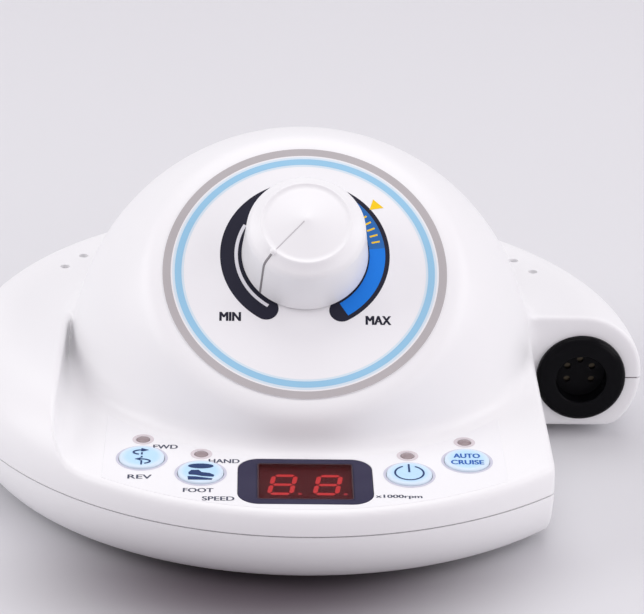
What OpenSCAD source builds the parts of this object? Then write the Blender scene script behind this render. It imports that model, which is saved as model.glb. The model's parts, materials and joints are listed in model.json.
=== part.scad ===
// Desktop control unit of a surgical micromotor: a round two-part case with a domed speed dial,
// a sunk key panel, a motor socket in a front notch, and the parts inside that make it work.
// Millimetres. The origin is on the table under the case's axis, the front faces -Y and +Z is up.

/* [Case] */
// Radius of the round case at its parting line
case_r = 106; // [104:0.5:112]
// Height of the parting line above the table
part_z = 20; // [19:0.25:21]
// Height of the flat wing above the table
wing_z = 40; // [39:0.25:42]
// Rounding of the wing's rim
rim_r = 18.5; // [16:0.5:19]
// Rounding of the lower case's side
belly_r = 22; // [20:0.5:24]
// Underside of the case above the table
base_z = 3; // [2:0.25:4]
// Wall of both case halves
wall = 2.5; // [2:0.1:3]
// Height of the dark line between the case halves
seam_h = 0.5; // [0.3:0.1:0.8]
// Depth of that line
seam_d = 1.2; // [0.8:0.1:1.6]
// Width of the front right notch, from the case's side inwards
notch_w = 34.8; // [33:0.1:35]
// Depth position of the vertical face that carries the motor socket
socket_y = 1; // [0:0.5:3]
// Depth of the rear flat that carries the mains inlet, below the round
rear_cut_d = 6; // [5:0.5:7]

/* [Dome and dial] */
// Depth of the key panel from the front rim to the dome's foot
panel_depth = 35.5; // [35:0.25:37]
// Height of the sphere's centre
dome_z = 26.7; // [25:0.1:28]
// Depth of the slanted face below the sphere
face_cut = 16.5; // [15.5:0.25:17.5]
// Slant of the face from level
face_tilt = 38.75; // [35:0.25:42]
// Width of the band at the face's edge that falls away
face_round = 1.7; // [1:0.1:2.4]
// Fall of the face's rim, in degrees
face_fall = 20; // [15:1:25]
// Margin of the face round the printed dial sheet
dial_margin = 2.1; // [1:0.1:3]
// Thickness of both printed sheets
sheet_t = 0.3; // [0.2:0.05:0.4]

/* [Speed knob] */
// Distance of the knob's axis above the middle of the face
knob_up = 5.4; // [4:0.2:7]
// Radius of the knob's skirt
knob_r = 18.5; // [17.5:0.25:20]
// Height of the knob's peak above the sheet
knob_h = 21.6; // [20:0.2:24]
// Gap between the skirt and the sheet
knob_gap = 0.5; // [0.3:0.1:1]
// Taper of the knob's skirt
knob_draft = 1.2; // [0.8:0.1:1.6]
// Height of the knob's top over its skirt
knob_top_h = 7; // [6:0.1:8]
// Rounding of the knob's shoulder
shoulder_r = 3.6; // [3:0.1:4]
// Turn of that rounding, in degrees
shoulder_turn = 60; // [50:5:70]
// Distance of the lip on the knob's top inside the skirt
lip_in = 5.5; // [5:0.1:6]
// Depth of the lip below the peak
lip_down = 2.25; // [2:0.05:2.5]
// Half the width of the lip
lip_w = 0.4; // [0.3:0.05:0.5]
// Depth of the groove inside the lip
lip_groove = 0.45; // [0.3:0.05:0.6]
// Wall of the knob's skirt
knob_wall = 2.4; // [2:0.1:3]
// Thickness of the knob's top over its hollow
knob_roof = 8.6; // [8:0.1:9]
// Thickness of the knob's top over the collet
collet_roof = 7.6; // [7:0.1:8]
// Direction of the pointer at rest, counted from the right
pointer_rest = 225; // [180:5:270]
// Width of the pointer's line
pointer_w = 0.9; // [0.6:0.1:1.4]
// Depth of the pointer's line in the knob
pointer_d = 0.6; // [0.4:0.1:0.8]
// Radius of the collet that grips the shaft
collet_r = 5; // [4.5:0.1:6]
// Radius of the potentiometer's shaft
shaft_r = 3; // [2.5:0.1:3.2]
// Radius of the potentiometer's threaded neck
neck_r = 4; // [3.8:0.1:4.4]
// Length of the neck above the wall
neck_h = 5.5; // [5:0.1:6.5]
// Radius of the potentiometer's can
can_r = 9; // [8.5:0.25:11]
// Depth of the potentiometer's can
can_h = 10; // [9.5:0.25:12]
// Wall of the can
can_wall = 1.2; // [1:0.1:1.4]
// Thickness of the resistive ring in the can
track_t = 1; // [0.8:0.1:1.2]
// Thickness of the wiper
wiper_t = 1.2; // [1:0.1:1.4]
// Gap between the wiper and the ring
wiper_gap = 0.4; // [0.3:0.05:0.5]
// Length of a soldering tag outside the can
terminal_l = 5; // [4:0.2:6]
// Width of a soldering tag
terminal_w = 1.2; // [1:0.1:1.4]
// Thickness of a soldering tag
terminal_t = 0.8; // [0.6:0.1:1]
// Distance from tag to tag
terminal_pitch = 4; // [3.5:0.1:4.5]
// Height of the tags over the can's floor
terminal_up = 3; // [2.5:0.1:3.5]
// Thickness of the neck's washer
washer_t = 0.6; // [0.4:0.1:0.8]
// Thickness of the neck's nut
nut_t = 2; // [1.6:0.1:2.4]
// Width of the neck's nut across its corners
nut_w = 12.4; // [11.6:0.2:14]

/* [Key panel] */
// Height of the panel's plane on the case's axis
panel_z = 30.6; // [30:0.1:31]
// Rise of the panel towards the rear, in degrees
panel_tilt = 2.1; // [1.6:0.1:2.5]
// Half the width of the printed sheet on the panel
sheet_x = 57; // [56:0.25:60]
// Width of the sheet's margin at the front rim
sheet_rim = 2.6; // [2:0.1:4]
// Gap between the sheet and the dome's foot
sheet_foot = 0.8; // [0.6:0.1:1.6]
// Sideways place of the outer keys
key_out_x = 46.1; // [45:0.1:47]
// Distance of the outer keys behind the front rim
key_out_rim = 31; // [30:0.1:32]
// Sideways place of the inner keys
key_in_x = 29.3; // [29:0.1:30]
// Distance of the inner keys behind the front rim
key_in_rim = 22.6; // [22:0.1:23]
// Radius of a key
key_r = 6.3; // [5.8:0.1:6.6]
// Height of a key above the sheet
key_proud = 0.7; // [0.6:0.05:1]
// Travel of a key
key_travel = 0.5; // [0.3:0.05:0.6]
// Width of a key's hidden flange
key_flange = 0.8; // [0.6:0.1:1]
// Thickness of that flange
key_flange_t = 1.2; // [1:0.1:1.4]
// Bevel of a key's edge
key_bevel = 0.4; // [0.2:0.05:0.5]
// Clearance round a key
key_gap = 0.25; // [0.2:0.05:0.3]
// Distance of a lamp behind its key
lamp_back = 11.2; // [10.8:0.1:12]
// Radius of a lamp's lens
lamp_r = 1.9; // [1.5:0.1:2.2]
// Height of the lens's crown over the sheet
lamp_crown = 0.4; // [0.2:0.05:0.5]
// Width of the lens's bevel
lamp_bevel = 0.6; // [0.4:0.05:0.8]
// Width of the display window
window_w = 37.7; // [37:0.1:38.5]
// Depth of the display window
window_l = 25.8; // [25:0.1:26.2]
// Distance of the window's middle behind the front rim
window_rim = 18.5; // [18:0.1:19]
// Rounding of the window's corners
window_r = 6; // [4:0.25:7]
// Thickness of the window
window_t = 1.5; // [1.2:0.1:1.8]
// Ledge under the window's edge
window_ledge = 1.8; // [1.5:0.1:2.2]
// Width of the display module
module_w = 25.4; // [24:0.1:27]
// Depth of the display module
module_l = 19.1; // [18:0.1:20]
// Height of the display module
module_h = 8; // [7.6:0.1:8.4]
// Height of a digit
digit_h = 12.7; // [11.5:0.1:13.5]
// Width of a digit
digit_w = 7.4; // [6.8:0.1:8]
// Distance from digit to digit
digit_pitch = 12.7; // [12:0.1:13]
// Width of a digit's bars
bar_w = 1.5; // [1.2:0.1:1.8]
// Gap between a bar's tip and the next bar
bar_gap = 0.12; // [0.08:0.02:0.2]
// Radius of a digit's point
point_r = 0.8; // [0.6:0.05:0.9]
// Distance of the point from the digit's side and foot
point_out = 0.7; // [0.6:0.05:0.9]
// Lean of the digits, in degrees
digit_lean = 8; // [0:1:10]
// Thickness of the lit bars
bar_t = 0.2; // [0.1:0.05:0.25]

/* [Control board] */
// Half the width of the control board
board_x = 58; // [57.6:0.2:60]
// Width of the control board behind the outer lamps
board_back = 6.8; // [5:0.2:8]
// Thickness of both boards
board_t = 1.6; // [1.4:0.1:1.8]
// Room between the board's rim and the case wall
board_rim = 3; // [2.6:0.1:3.4]
// Width of a switch's body
switch_w = 6; // [5.5:0.1:6.6]
// Height of a switch's body
switch_h = 3.8; // [3.4:0.1:4.2]
// Radius of a switch's plunger
plunger_r = 1.7; // [1.4:0.05:2]
// Depth of a switch's floor under its plunger
switch_floor = 0.5; // [0.4:0.05:0.6]
// Radius of the board's bosses
boss_r = 2.6; // [2.4:0.1:2.8]
// Distance of the rear bosses from the board's rear edge
boss_back = 5; // [4:0.2:6]
// Distance of the side bosses in front of the outer keys
boss_front = 5; // [4.6:0.2:6]
// Margin of the side bosses at the board's edge
boss_side = 0.4; // [0.3:0.05:0.6]
// Radius of a small screw's thread
screw_r = 1; // [0.8:0.05:1.2]
// Radius of a small screw's head
screw_head_r = 2; // [1.8:0.1:2.4]
// Height of a small screw's head
screw_head_h = 1.4; // [1.2:0.1:1.8]
// Length of a small screw's thread in its boss
board_screw_l = 4; // [3:0.2:5]
// Room left beyond a screw's tip
tip_room = 0.5; // [0.3:0.1:1]

/* [Motor socket] */
// Distance of the socket's axis from the notch's side
socket_side = 16; // [15.4:0.1:16.6]
// Radius of the socket's flange
socket_flange_r = 13.9; // [13.5:0.1:14.2]
// Thickness of the flange
socket_flange_t = 3; // [2:0.1:4]
// Bevel of the flange's edge
socket_bevel = 0.8; // [0.5:0.1:1]
// Radius of the socket's barrel
socket_barrel_r = 11; // [10.6:0.1:11.4]
// Radius of the socket's mouth
socket_mouth_r = 7.7; // [7.2:0.1:8]
// Depth of the mouth down to the insert
socket_mouth_d = 6; // [5.5:0.1:7]
// Radius of the insert
socket_insert_r = 8.6; // [8.4:0.1:9]
// Length of the insert
socket_insert_l = 8; // [7:0.1:9]
// Radius of the circle of contacts
contact_ring_r = 4.4; // [4:0.1:5]
// Radius of a contact
contact_r = 1; // [0.8:0.05:1.2]
// Depth of a contact's tip in the insert
contact_sunk = 1; // [0.5:0.1:1.5]
// Angle from contact to contact, in degrees
contact_turn = 60; // [50:5:70]
// Length of a contact behind the insert
contact_tail = 4; // [3:0.1:5]
// Radius of the ring nut
ring_nut_r = 13.6; // [13.2:0.1:13.9]
// Thickness of the ring nut
ring_nut_t = 3; // [2.5:0.1:3.5]

/* [Rear connectors] */
// Width of the mains inlet's flange
inlet_w = 30; // [29:0.2:31]
// Height of the mains inlet's flange
inlet_h = 25.6; // [25:0.2:26]
// Thickness of that flange
inlet_flange_t = 2.4; // [2:0.1:3]
// Margin of the flange round the inlet's body
inlet_margin = 1.6; // [1.4:0.1:1.8]
// Rounding of the flange's corners
inlet_corner = 2; // [1:0.2:3]
// Wall between the inlet's side and its hollows
inlet_web = 0.9; // [0.8:0.05:1]
// Depth of the inlet's body behind the flange
inlet_depth = 26; // [25:0.2:27]
// Width of the plug's recess
recess_w = 24; // [23:0.1:24.5]
// Height of the plug's recess
recess_h = 13.6; // [13:0.1:14]
// Depth of the plug's recess
recess_d = 16; // [15:0.1:17]
// Height of a blade's tip over the recess's floor
blade_l = 9; // [7:0.1:10]
// Width of a blade
blade_w = 2; // [1.6:0.1:2.4]
// Height of a blade
blade_h = 4; // [3.5:0.1:4.5]
// Distance between the two line blades
blade_pitch = 14; // [13:0.1:15]
// Height of the earth blade over the line blades
blade_step = 3.2; // [2.8:0.1:3.6]
// Width of the fuse drawer
drawer_w = 20; // [19:0.1:21]
// Height of the fuse drawer
drawer_h = 5.8; // [5.6:0.1:6]
// Length of the fuse drawer
drawer_l = 24; // [23.4:0.1:24.4]
// Clearance round the fuse drawer
drawer_gap = 0.2; // [0.1:0.05:0.3]
// Thickness of the drawer's front
drawer_front = 1.2; // [1:0.1:1.6]
// Overhang of the drawer's front
drawer_lip = 0.8; // [0.6:0.05:0.9]
// Room behind the drawer
drawer_back = 0.5; // [0.4:0.1:0.8]
// Wall behind the fuse in the drawer
fuse_wall = 1.6; // [1.4:0.1:1.8]
// Room at the fuse's ends
fuse_gap = 0.2; // [0.1:0.05:0.3]
// Radius of the fuse
fuse_r = 2.6; // [2.4:0.05:2.7]
// Length of the fuse
fuse_l = 20; // [19:0.1:20.4]
// Sideways place of the foot pedal's jack
jack_x = 23.5; // [23:0.1:24]
// Radius of the jack's bore
jack_bore_r = 3.2; // [3:0.05:3.4]
// Radius of the jack's neck
jack_neck_r = 4.8; // [4.6:0.1:5.2]
// Width of the jack's body
jack_w = 13; // [12:0.2:13.4]
// Length of the jack's body
jack_l = 20; // [19:0.2:21]
// Thickness of the jack's inner end
jack_floor = 4.5; // [4:0.1:5]
// Width of the jack's nut across its corners
jack_nut_w = 14; // [13:0.2:15]
// Thickness of the jack's nut
jack_nut_t = 2.4; // [2:0.1:3]

/* [Handpiece rest holes] */
// Distance of the rest holes from the case's side
rest_rim = 22.4; // [21:0.2:24]
// Direction of the front rest hole, counted from the side
rest_front = 26.65; // [26:0.1:27.5]
// Direction of the rear rest hole, counted from the side
rest_rear = 34; // [33.5:0.1:35]
// Radius of a rest hole
rest_hole_r = 1.5; // [1.3:0.05:1.7]
// Depth of a rest hole
rest_hole_d = 8; // [7:0.2:9]
// Wall round a rest hole
rest_wall = 2; // [1.6:0.1:2.4]

/* [Power parts] */
// Outer radius of the transformer
coil_r = 30; // [28:0.5:31]
// Radius of the transformer's hole
coil_hole_r = 11; // [10.5:0.25:12]
// Height of the transformer
coil_h = 26; // [24:0.5:27]
// Rounding of the transformer's edges
coil_edge = 6; // [4:0.5:8]
// Sideways place of the transformer
coil_x = -30; // [-31:0.5:-29]
// Depth place of the transformer
coil_y = 26; // [24:0.5:28]
// Thickness of the transformer's pad and clamp plate
pad_t = 2; // [1.5:0.1:2.5]
// Radius of the clamp plate
plate_r = 22; // [20:0.5:23]
// Radius of the transformer's bolt
bolt_r = 3; // [2.5:0.1:3.5]
// Left edge of the main board
main_x = 10; // [9:0.2:11]
// Front edge of the main board
main_y = 8; // [7:0.2:9]
// Distance of the main board's holes from its edges
main_inset = 4; // [3.8:0.1:4.4]
// Width of the main board
main_w = 54; // [52:0.2:55]
// Depth of the main board
main_l = 52; // [50:0.2:53]
// Height of the main board over the floor
main_lift = 8; // [7:0.2:9]
// Height of the heat sink
sink_h = 18; // [16:0.5:19]
// Depth of the heat sink's fins
fin_d = 8; // [7:0.2:9]
// Number of fins
fin_n = 10; // [6:1:12]
// Thickness of a fin
fin_t = 1.6; // [1.2:0.1:2]
// Thickness of the heat sink's plate
sink_t = 2.4; // [2:0.1:3]
// Width of a power transistor
transistor_w = 10; // [9.5:0.1:11]
// Height of a power transistor
transistor_h = 15; // [14:0.2:16]
// Thickness of a power transistor
transistor_t = 4.5; // [4:0.1:5]
// Length of a header
header_l = 6; // [5.5:0.1:6.5]
// Width of the ribbon's header
header_w = 22; // [20:0.5:23]
// Height of a header
header_h = 6; // [5.5:0.1:6.5]
// Distance of the headers from the board's edge
header_edge = 1; // [0.5:0.1:1.2]
// Distance of the ribbon's header from the board's left edge
header_in = 6; // [5:0.2:7]
// Distance of the first capacitor from the board's left edge
cap_side = 19.4; // [19:0.2:20]
// Distance from capacitor to capacitor
cap_pitch = 16.2; // [16:0.2:17]
// Distance that the capacitors stand in front of the transistors
cap_front = 2.7; // [2.4:0.1:3]
// Radius of a capacitor
cap_r = 7; // [6:0.2:8]
// Height of a capacitor
cap_h = 19; // [16:0.5:20]

/* [Base] */
// Radius of a rubber foot
foot_r = 8; // [7:0.2:9]
// Distance of a foot's axis from the case's side
foot_rim = 26; // [24:0.5:28]
// Bevel of a foot's edge
foot_bevel = 1; // [0.5:0.1:1.5]
// Direction of the feet, counted from the side
foot_turn = 40; // [38:0.5:42]
// Depth of a foot's seat in the base
foot_seat = 0.8; // [0.5:0.1:1]
// Radius of a case screw's thread
case_screw_r = 1.5; // [1.3:0.05:1.7]
// Radius of a case screw's head
case_head_r = 2.9; // [2.7:0.1:3.1]
// Height of a case screw's head
case_head_h = 2.4; // [2:0.1:2.8]
// Radius of a case boss
case_boss_r = 5; // [4.6:0.1:5.4]
// Length of a case screw's thread in the upper case
case_thread_l = 5; // [4:0.2:6]
// Height of the head's seat over the table
case_seat_z = 9; // [8:0.2:10]
// Distance of the front case screws outside the dome's foot
front_screw_out = 3; // [2.6:0.1:3.2]
// Direction of the front case screws, counted from the side
front_screw_turn = 30; // [29.5:0.5:31]
// Distance of the rear case screws from the case's side
rear_screw_rim = 21.8; // [20:0.2:23]
// Direction of the rear case screws, counted from the side
rear_screw_turn = 60; // [58:0.5:62]

/* [Fits] */
// Radial clearance of a turning shaft
run_gap = 0.05; // [0.03:0.01:0.08]
// Clearance of a fixed part in its hole
fit_gap = 0.1; // [0.06:0.01:0.15]
// Gap left between parts that only pass each other
pass_gap = 0.3; // [0.2:0.05:0.4]
// Thickness of the leads
lead_t = 2; // [1.6:0.1:2.4]
// Height of the flat leads
lead_h = 4; // [3:0.2:5]
// Height of the flat leads over the main board
lead_up = 1; // [0.6:0.1:1.4]
// Width of the potentiometer's lead
dial_lead_w = 8; // [7:0.2:9]
// Bow of the potentiometer's lead
dial_lead_bow = 4; // [3:0.2:5]
// Distance of that lead's foot from the control board's rear edge
dial_lead_foot = 3; // [2:0.2:4]
// Sideways place of the mains lead at the inlet
mains_lead_x = -6; // [-7:0.2:-5]
// Thickness of the ribbon
ribbon_t = 0.8; // [0.6:0.1:1]
// Distance of the ribbon from the edges that it passes
ribbon_edge = 2; // [1.6:0.1:2.4]

/* [Hidden] */
$fn = 96;
// Length past every piece, and the depth that a cut runs on into the air
far = 3 * case_r;
over = 1;
tongue_x = case_r - notch_w;
rear_y = case_r - rear_cut_d;
floor_z = base_z + wall;
dome_r = case_r - panel_depth;
face_d = dome_r - face_cut;
face_flat_r = sqrt(dome_r * dome_r - face_d * face_d) - face_round;
dial_r = face_flat_r - dial_margin;
knob_low = knob_gap + sheet_t;
knob_shoulder = knob_h - knob_top_h;
knob_lip = knob_h - lip_down;
hollow_h = knob_h - knob_roof;
collet_top = knob_h - collet_roof;
can_floor = -wall - can_h;
track_low = can_floor + can_wall;
wiper_z = track_low + track_t + wiper_gap;
terminal_z = can_floor + terminal_up;
neck_top = neck_h + 2 * pass_gap;
key_out_y = key_out_rim - case_r;
key_in_y = key_in_rim - case_r;
KEYS = [[-key_out_x, key_out_y], [-key_in_x, key_in_y], [key_in_x, key_in_y], [key_out_x, key_out_y]];
key_top = sheet_t + key_proud;
key_seat = -wall - fit_gap;
key_low = key_seat - key_flange_t;
window_y = window_rim - case_r;
board_y = key_out_y + lamp_back + board_back;
board_top = sheet_t - window_t - pass_gap - module_h;
board_low = board_top - board_t;
board_r = case_r - wall - board_rim;
plunger_low = board_top + switch_floor + fit_gap + key_travel;
BOARD_BOSSES = concat(
    [for (s = [-1, 1]) [s * (key_in_x + key_out_x) / 2, board_y - boss_back]],
    [for (s = [-1, 1]) [s * (board_x - boss_r - boss_side), key_out_y - boss_front]]);
front_screw_r = dome_r + front_screw_out;
rear_screw_r = case_r - rear_screw_rim;
FRONT_SCREWS = [for (s = [-1, 1]) front_screw_r * [s * cos(front_screw_turn), -sin(front_screw_turn)]];
REAR_SCREWS = [for (s = [-1, 1]) rear_screw_r * [s * cos(rear_screw_turn), sin(rear_screw_turn)]];
CASE_SCREWS = concat(FRONT_SCREWS, REAR_SCREWS);
foot_ring_r = case_r - foot_rim;
FEET = [for (turn = [foot_turn, 180 - foot_turn, 180 + foot_turn, -foot_turn])
        foot_ring_r * [cos(turn), sin(turn)]];
rest_ring_r = case_r - rest_rim;
REST_HOLES = [for (turn = [rest_front, rest_rear, 180 - rest_front, 180 - rest_rear])
              rest_ring_r * [cos(turn), sin(turn)]];
socket_x = tongue_x + socket_side;
socket_front = socket_y - socket_flange_t;
contact_front = socket_front + socket_mouth_d;
insert_back = contact_front + socket_insert_l;
CONTACT_TURNS = [for (k = [-2:2]) -90 + k * contact_turn];
inlet_low = part_z - inlet_h / 2;
inlet_high = part_z + inlet_h / 2;
inlet_front = rear_y + inlet_flange_t;
inlet_back = rear_y - inlet_depth;
recess_floor = inlet_front - recess_d;
recess_z = inlet_high - inlet_margin - inlet_web - recess_h;
blade_z = recess_z + (recess_h - blade_step) / 2;
drawer_z = inlet_low + inlet_margin + inlet_web + drawer_gap;
drawer_seat = inlet_front + fit_gap;
fuse_y = inlet_front - drawer_l + fuse_wall;
fuse_z = drawer_z + drawer_h - fuse_r;
main_z = floor_z + main_lift;
main_top = main_z + board_t;
MAIN_BOSSES = [for (x = [main_inset, main_w - main_inset], y = [main_inset, main_l - main_inset])
               [main_x + x, main_y + y]];
sink_left = main_x + 2 * main_inset;
sink_right = main_x + main_w - 2 * main_inset;
sink_y = main_y + main_l - 2 * main_inset - fin_d;
cap_y = sink_y - transistor_t - cap_front - cap_r;
ribbon_x = main_x + header_in;
ribbon_top = main_top + header_h + ribbon_t / 2;
coil_top = floor_z + pad_t + coil_h;
coil_lead_x = main_x + header_edge;
motor_lead_x = main_x + main_w - header_edge;
motor_lead_y = main_y + main_l / 2;

// Height of the panel's plane at depth y
function panel_at(y) = panel_z + y * tan(panel_tilt);

// Puts the children on the panel's plane, with its normal as local +Z
module on_panel() { translate([0, 0, panel_z]) rotate([panel_tilt, 0, 0]) children(); }

// Puts the children on the slanted face, with the face's normal as local +Z
module on_face() {
    translate([0, 0, dome_z]) rotate([face_tilt, 0, 0]) translate([0, 0, face_d]) children();
}

// Puts the children on the knob's axis, level with the face
module on_dial() { on_face() translate([0, knob_up, 0]) children(); }

// Puts the children on the motor socket's axis, with local +Z pointing inwards
module on_socket() { translate([socket_x, 0, part_z]) rotate([-90, 0, 0]) children(); }

// Tube between two heights
module ring(r_out, r_in, low, high) {
    difference() {
        translate([0, 0, low]) cylinder(r = r_out, h = high - low);
        translate([0, 0, low - over]) cylinder(r = r_in, h = high - low + 2 * over);
    }
}

// Box given by two corners
module span(low, high) { translate(low) cube(high - low); }

// Rectangle with round corners, about its own middle
module round_rect(w, l, r) {
    square([w - 2 * r, l], center = true);
    square([w, l - 2 * r], center = true);
    for (x = [-1, 1], y = [-1, 1]) translate([x * (w / 2 - r), y * (l / 2 - r)]) circle(r);
}

// Flat strip along a path of points
module strip(path, t) {
    for (k = [0:len(path) - 2]) {
        step = path[k + 1] - path[k];
        translate(path[k]) rotate(atan2(step[1], step[0]))
            translate([k == 0 ? 0 : -t / 2, -t / 2])
                square([norm(step) + (k == 0 ? 0 : t / 2) + (k == len(path) - 2 ? 0 : t / 2), t]);
    }
}

// Strip in the YZ plane, drawn as (depth, height) and given a width along X
module side_strip(path, t, x, w) {
    translate([x, 0, 0]) rotate([90, 0, 90]) linear_extrude(w) strip(path, t);
}

// Region of the front right notch, grown by a wall
module notch(inset) {
    span([tongue_x - inset, -far, -far], [far, socket_y + inset, far]);
}

// Region above the sunk panel, grown by a wall
module panel_recess(inset) {
    drop = inset / cos(panel_tilt);
    back = socket_y + inset;
    translate([-tongue_x - inset, 0, 0]) rotate([90, 0, 90]) linear_extrude(far)
        polygon([[-far, panel_at(-far) - drop], [back, panel_at(back) - drop], [back, far], [-far, far]]);
}

// Region behind the rear flat, grown by a wall
module rear_cut(inset) { span([-far, rear_y - inset, -far], [far, far, far]); }

// Dome with its slanted face, shrunk by a wall and cut off below
module dome(inset, low) {
    run = dome_r;
    intersection() {
        translate([0, 0, dome_z]) sphere(dome_r - inset);
        on_face() rotate_extrude()
            polygon([[0, -far], [far, -far], [face_flat_r + run, -inset - run * tan(face_fall)],
                     [face_flat_r - inset * tan(face_fall / 2), -inset], [0, -inset]]);
        span([-far, -far, low], [far, far, far]);
    }
}

// Round upper half of the case without the dome, as a solid shrunk by a wall and cut off below
module disc_form(inset, low) {
    side = case_r - rim_r;
    turn_z = wing_z - rim_r;
    difference() {
        rotate_extrude() {
            translate([0, low]) square([side, wing_z - inset - low]);
            translate([0, low]) square([case_r - inset, turn_z - low]);
            intersection() {
                translate([side, turn_z]) circle(rim_r - inset);
                translate([side, turn_z]) square(rim_r);
            }
        }
        panel_recess(inset);
        notch(inset);
        rear_cut(inset);
    }
}

// Shell of the round upper half between two corners
module disc_shell(low, high) {
    difference() {
        intersection() {
            disc_form(0, part_z);
            span(low, high);
        }
        disc_form(wall, part_z - over);
    }
}

// Lower half of the case as a solid, shrunk by a wall and cut off above
module lower_form(inset, high) {
    side = case_r - belly_r;
    low = base_z + inset;
    difference() {
        rotate_extrude() {
            translate([0, low]) square([side, part_z - low]);
            intersection() {
                translate([side, part_z]) circle(belly_r - inset);
                translate([side, low]) square([belly_r, part_z - low]);
            }
            if (high > part_z) translate([0, part_z]) square([case_r - inset, high - part_z]);
        }
        notch(inset);
        rear_cut(inset);
    }
}

// Holes that the socket, inlet and jack need through both halves
module connector_holes() {
    on_socket() translate([0, 0, socket_y - over])
        cylinder(r = socket_barrel_r + fit_gap, h = wall + 2 * over);
    body_w = inlet_w / 2 - inlet_margin + fit_gap;
    body_h = inlet_h / 2 - inlet_margin + fit_gap;
    span([-body_w, rear_y - wall - over, part_z - body_h], [body_w, rear_y + over, part_z + body_h]);
    translate([jack_x, rear_y - wall - over, part_z]) rotate([-90, 0, 0])
        cylinder(r = jack_neck_r + fit_gap, h = wall + 2 * over);
}

// Column under the upper case for a case screw, up to a given height
module case_column(p, high) {
    difference() {
        translate([p[0], p[1], part_z]) cylinder(r = case_boss_r, h = high - part_z);
        case_thread(p);
    }
}

// Thread hole of a case screw
module case_thread(p) {
    translate([p[0], p[1], part_z - over])
        cylinder(r = case_screw_r + run_gap, h = over + case_thread_l + tip_room);
}

// White upper case: the wing behind the motor socket's face, open under the dome, with the rest holes
module upper_case() color("white") {
    difference() {
        union() {
            difference() {
                disc_shell([-far, socket_y, -far], [far, far, far]);
                dome(wall, part_z - over);
            }
            for (p = REST_HOLES)
                translate([p[0], p[1], wing_z - rest_hole_d - rest_wall])
                    cylinder(r = rest_hole_r + rest_wall, h = rest_hole_d + rest_wall - wall / 2);
        }
        for (p = REST_HOLES)
            translate([p[0], p[1], wing_z - rest_hole_d]) cylinder(r = rest_hole_r, h = rest_hole_d + over);
        connector_holes();
    }
    for (p = REAR_SCREWS) case_column(p, wing_z - wall / 2);
}

// White wing to the left of the key panel
module side_wing() color("white") disc_shell([-far, -far, -far], [-tongue_x, socket_y, far]);

// White dome with the slanted face that carries the dial
module dome_cover() color("white") difference() {
    dome(0, part_z);
    dome(wall, part_z - over);
    disc_form(0, part_z - over);
    on_dial() translate([0, 0, -2 * wall]) cylinder(r = neck_r + fit_gap, h = 4 * wall);
}

// White key panel, open under the dome, with the board's bosses and its key, lamp and window holes
module key_panel() color("white") {
    difference() {
        union() {
            difference() {
                disc_shell([-tongue_x, -far, -far], [tongue_x, socket_y, far]);
                translate([0, 0, part_z]) cylinder(r = dome_r - wall, h = wing_z);
            }
            on_panel() for (p = BOARD_BOSSES)
                translate([p[0], p[1], board_top]) cylinder(r = boss_r, h = -board_top - wall / 2);
        }
        on_panel() {
            for (p = BOARD_BOSSES)
                translate([p[0], p[1], board_top - over])
                    cylinder(r = screw_r + run_gap, h = over + board_screw_l + tip_room);
            for (p = KEYS) {
                translate([p[0], p[1], -2 * wall]) cylinder(r = key_r + key_gap, h = 4 * wall);
                translate([p[0], p[1] + lamp_back, -2 * wall]) cylinder(r = lamp_r + fit_gap, h = 4 * wall);
            }
            translate([0, window_y, sheet_t - window_t]) linear_extrude(window_t)
                round_rect(window_w + 2 * fit_gap, window_l + 2 * fit_gap, window_r + fit_gap);
            translate([0, window_y, -2 * wall]) linear_extrude(4 * wall)
                round_rect(window_w - 2 * window_ledge, window_l - 2 * window_ledge, window_r - window_ledge);
        }
    }
    for (p = FRONT_SCREWS) case_column(p, panel_at(p[1]) - wall / 2);
}

// White lower case with the seats of the feet, case screws and inner parts
module lower_case() color("white") difference() {
    union() {
        difference() {
            lower_form(0, part_z);
            lower_form(wall, part_z + over);
        }
        for (p = CASE_SCREWS)
            translate([p[0], p[1], base_z + wall / 2])
                cylinder(r = case_boss_r, h = part_z - base_z - wall / 2);
        for (p = MAIN_BOSSES)
            translate([p[0], p[1], base_z + wall / 2]) cylinder(r = boss_r, h = main_z - base_z - wall / 2);
        translate([coil_x, coil_y, base_z + wall / 2])
            cylinder(r = coil_hole_r - pass_gap * 2, h = wall / 2 + pad_t + coil_h / 3);
    }
    difference() {
        span([-far, -far, part_z - seam_h], [far, far, part_z + over]);
        lower_form(seam_d, part_z + 2 * over);
    }
    for (p = CASE_SCREWS) {
        translate([p[0], p[1], base_z - over])
            cylinder(r = case_head_r + pass_gap, h = case_seat_z - base_z + over);
        translate([p[0], p[1], base_z]) cylinder(r = case_screw_r + pass_gap, h = part_z);
    }
    for (p = MAIN_BOSSES)
        translate([p[0], p[1], main_z - board_screw_l - tip_room])
            cylinder(r = screw_r + run_gap, h = board_screw_l + tip_room + over);
    translate([coil_x, coil_y, floor_z]) cylinder(r = bolt_r + run_gap, h = coil_h);
    for (p = FEET)
        translate([p[0], p[1], base_z - over]) cylinder(r = foot_r + fit_gap, h = over + foot_seat);
    connector_holes();
}

// Printed sheet on the slanted face
module dial_sheet() color("whitesmoke") on_face() difference() {
    cylinder(r = dial_r, h = sheet_t);
    translate([0, knob_up, -over]) cylinder(r = neck_r + fit_gap, h = sheet_t + 2 * over);
}

// Outline of the knob from its skirt over the shoulder and lip to the peak, shrunk by a depth
function knob_line(inset) = concat(
    [[knob_r - inset, knob_low]],
    [for (k = [0:3]) let (turn = shoulder_turn * k / 3)
        [knob_r - knob_draft - shoulder_r + (shoulder_r - inset) * cos(turn),
         knob_shoulder + (shoulder_r - inset) * sin(turn)]],
    [[knob_r - lip_in + lip_w, knob_lip - lip_w / 2 - inset], [knob_r - lip_in, knob_lip - inset],
     [knob_r - lip_in - lip_w, knob_lip - lip_w / 2 - inset],
     [knob_r - lip_in - 2 * lip_w, knob_lip - lip_groove - inset], [0, knob_h - inset]]);

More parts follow.
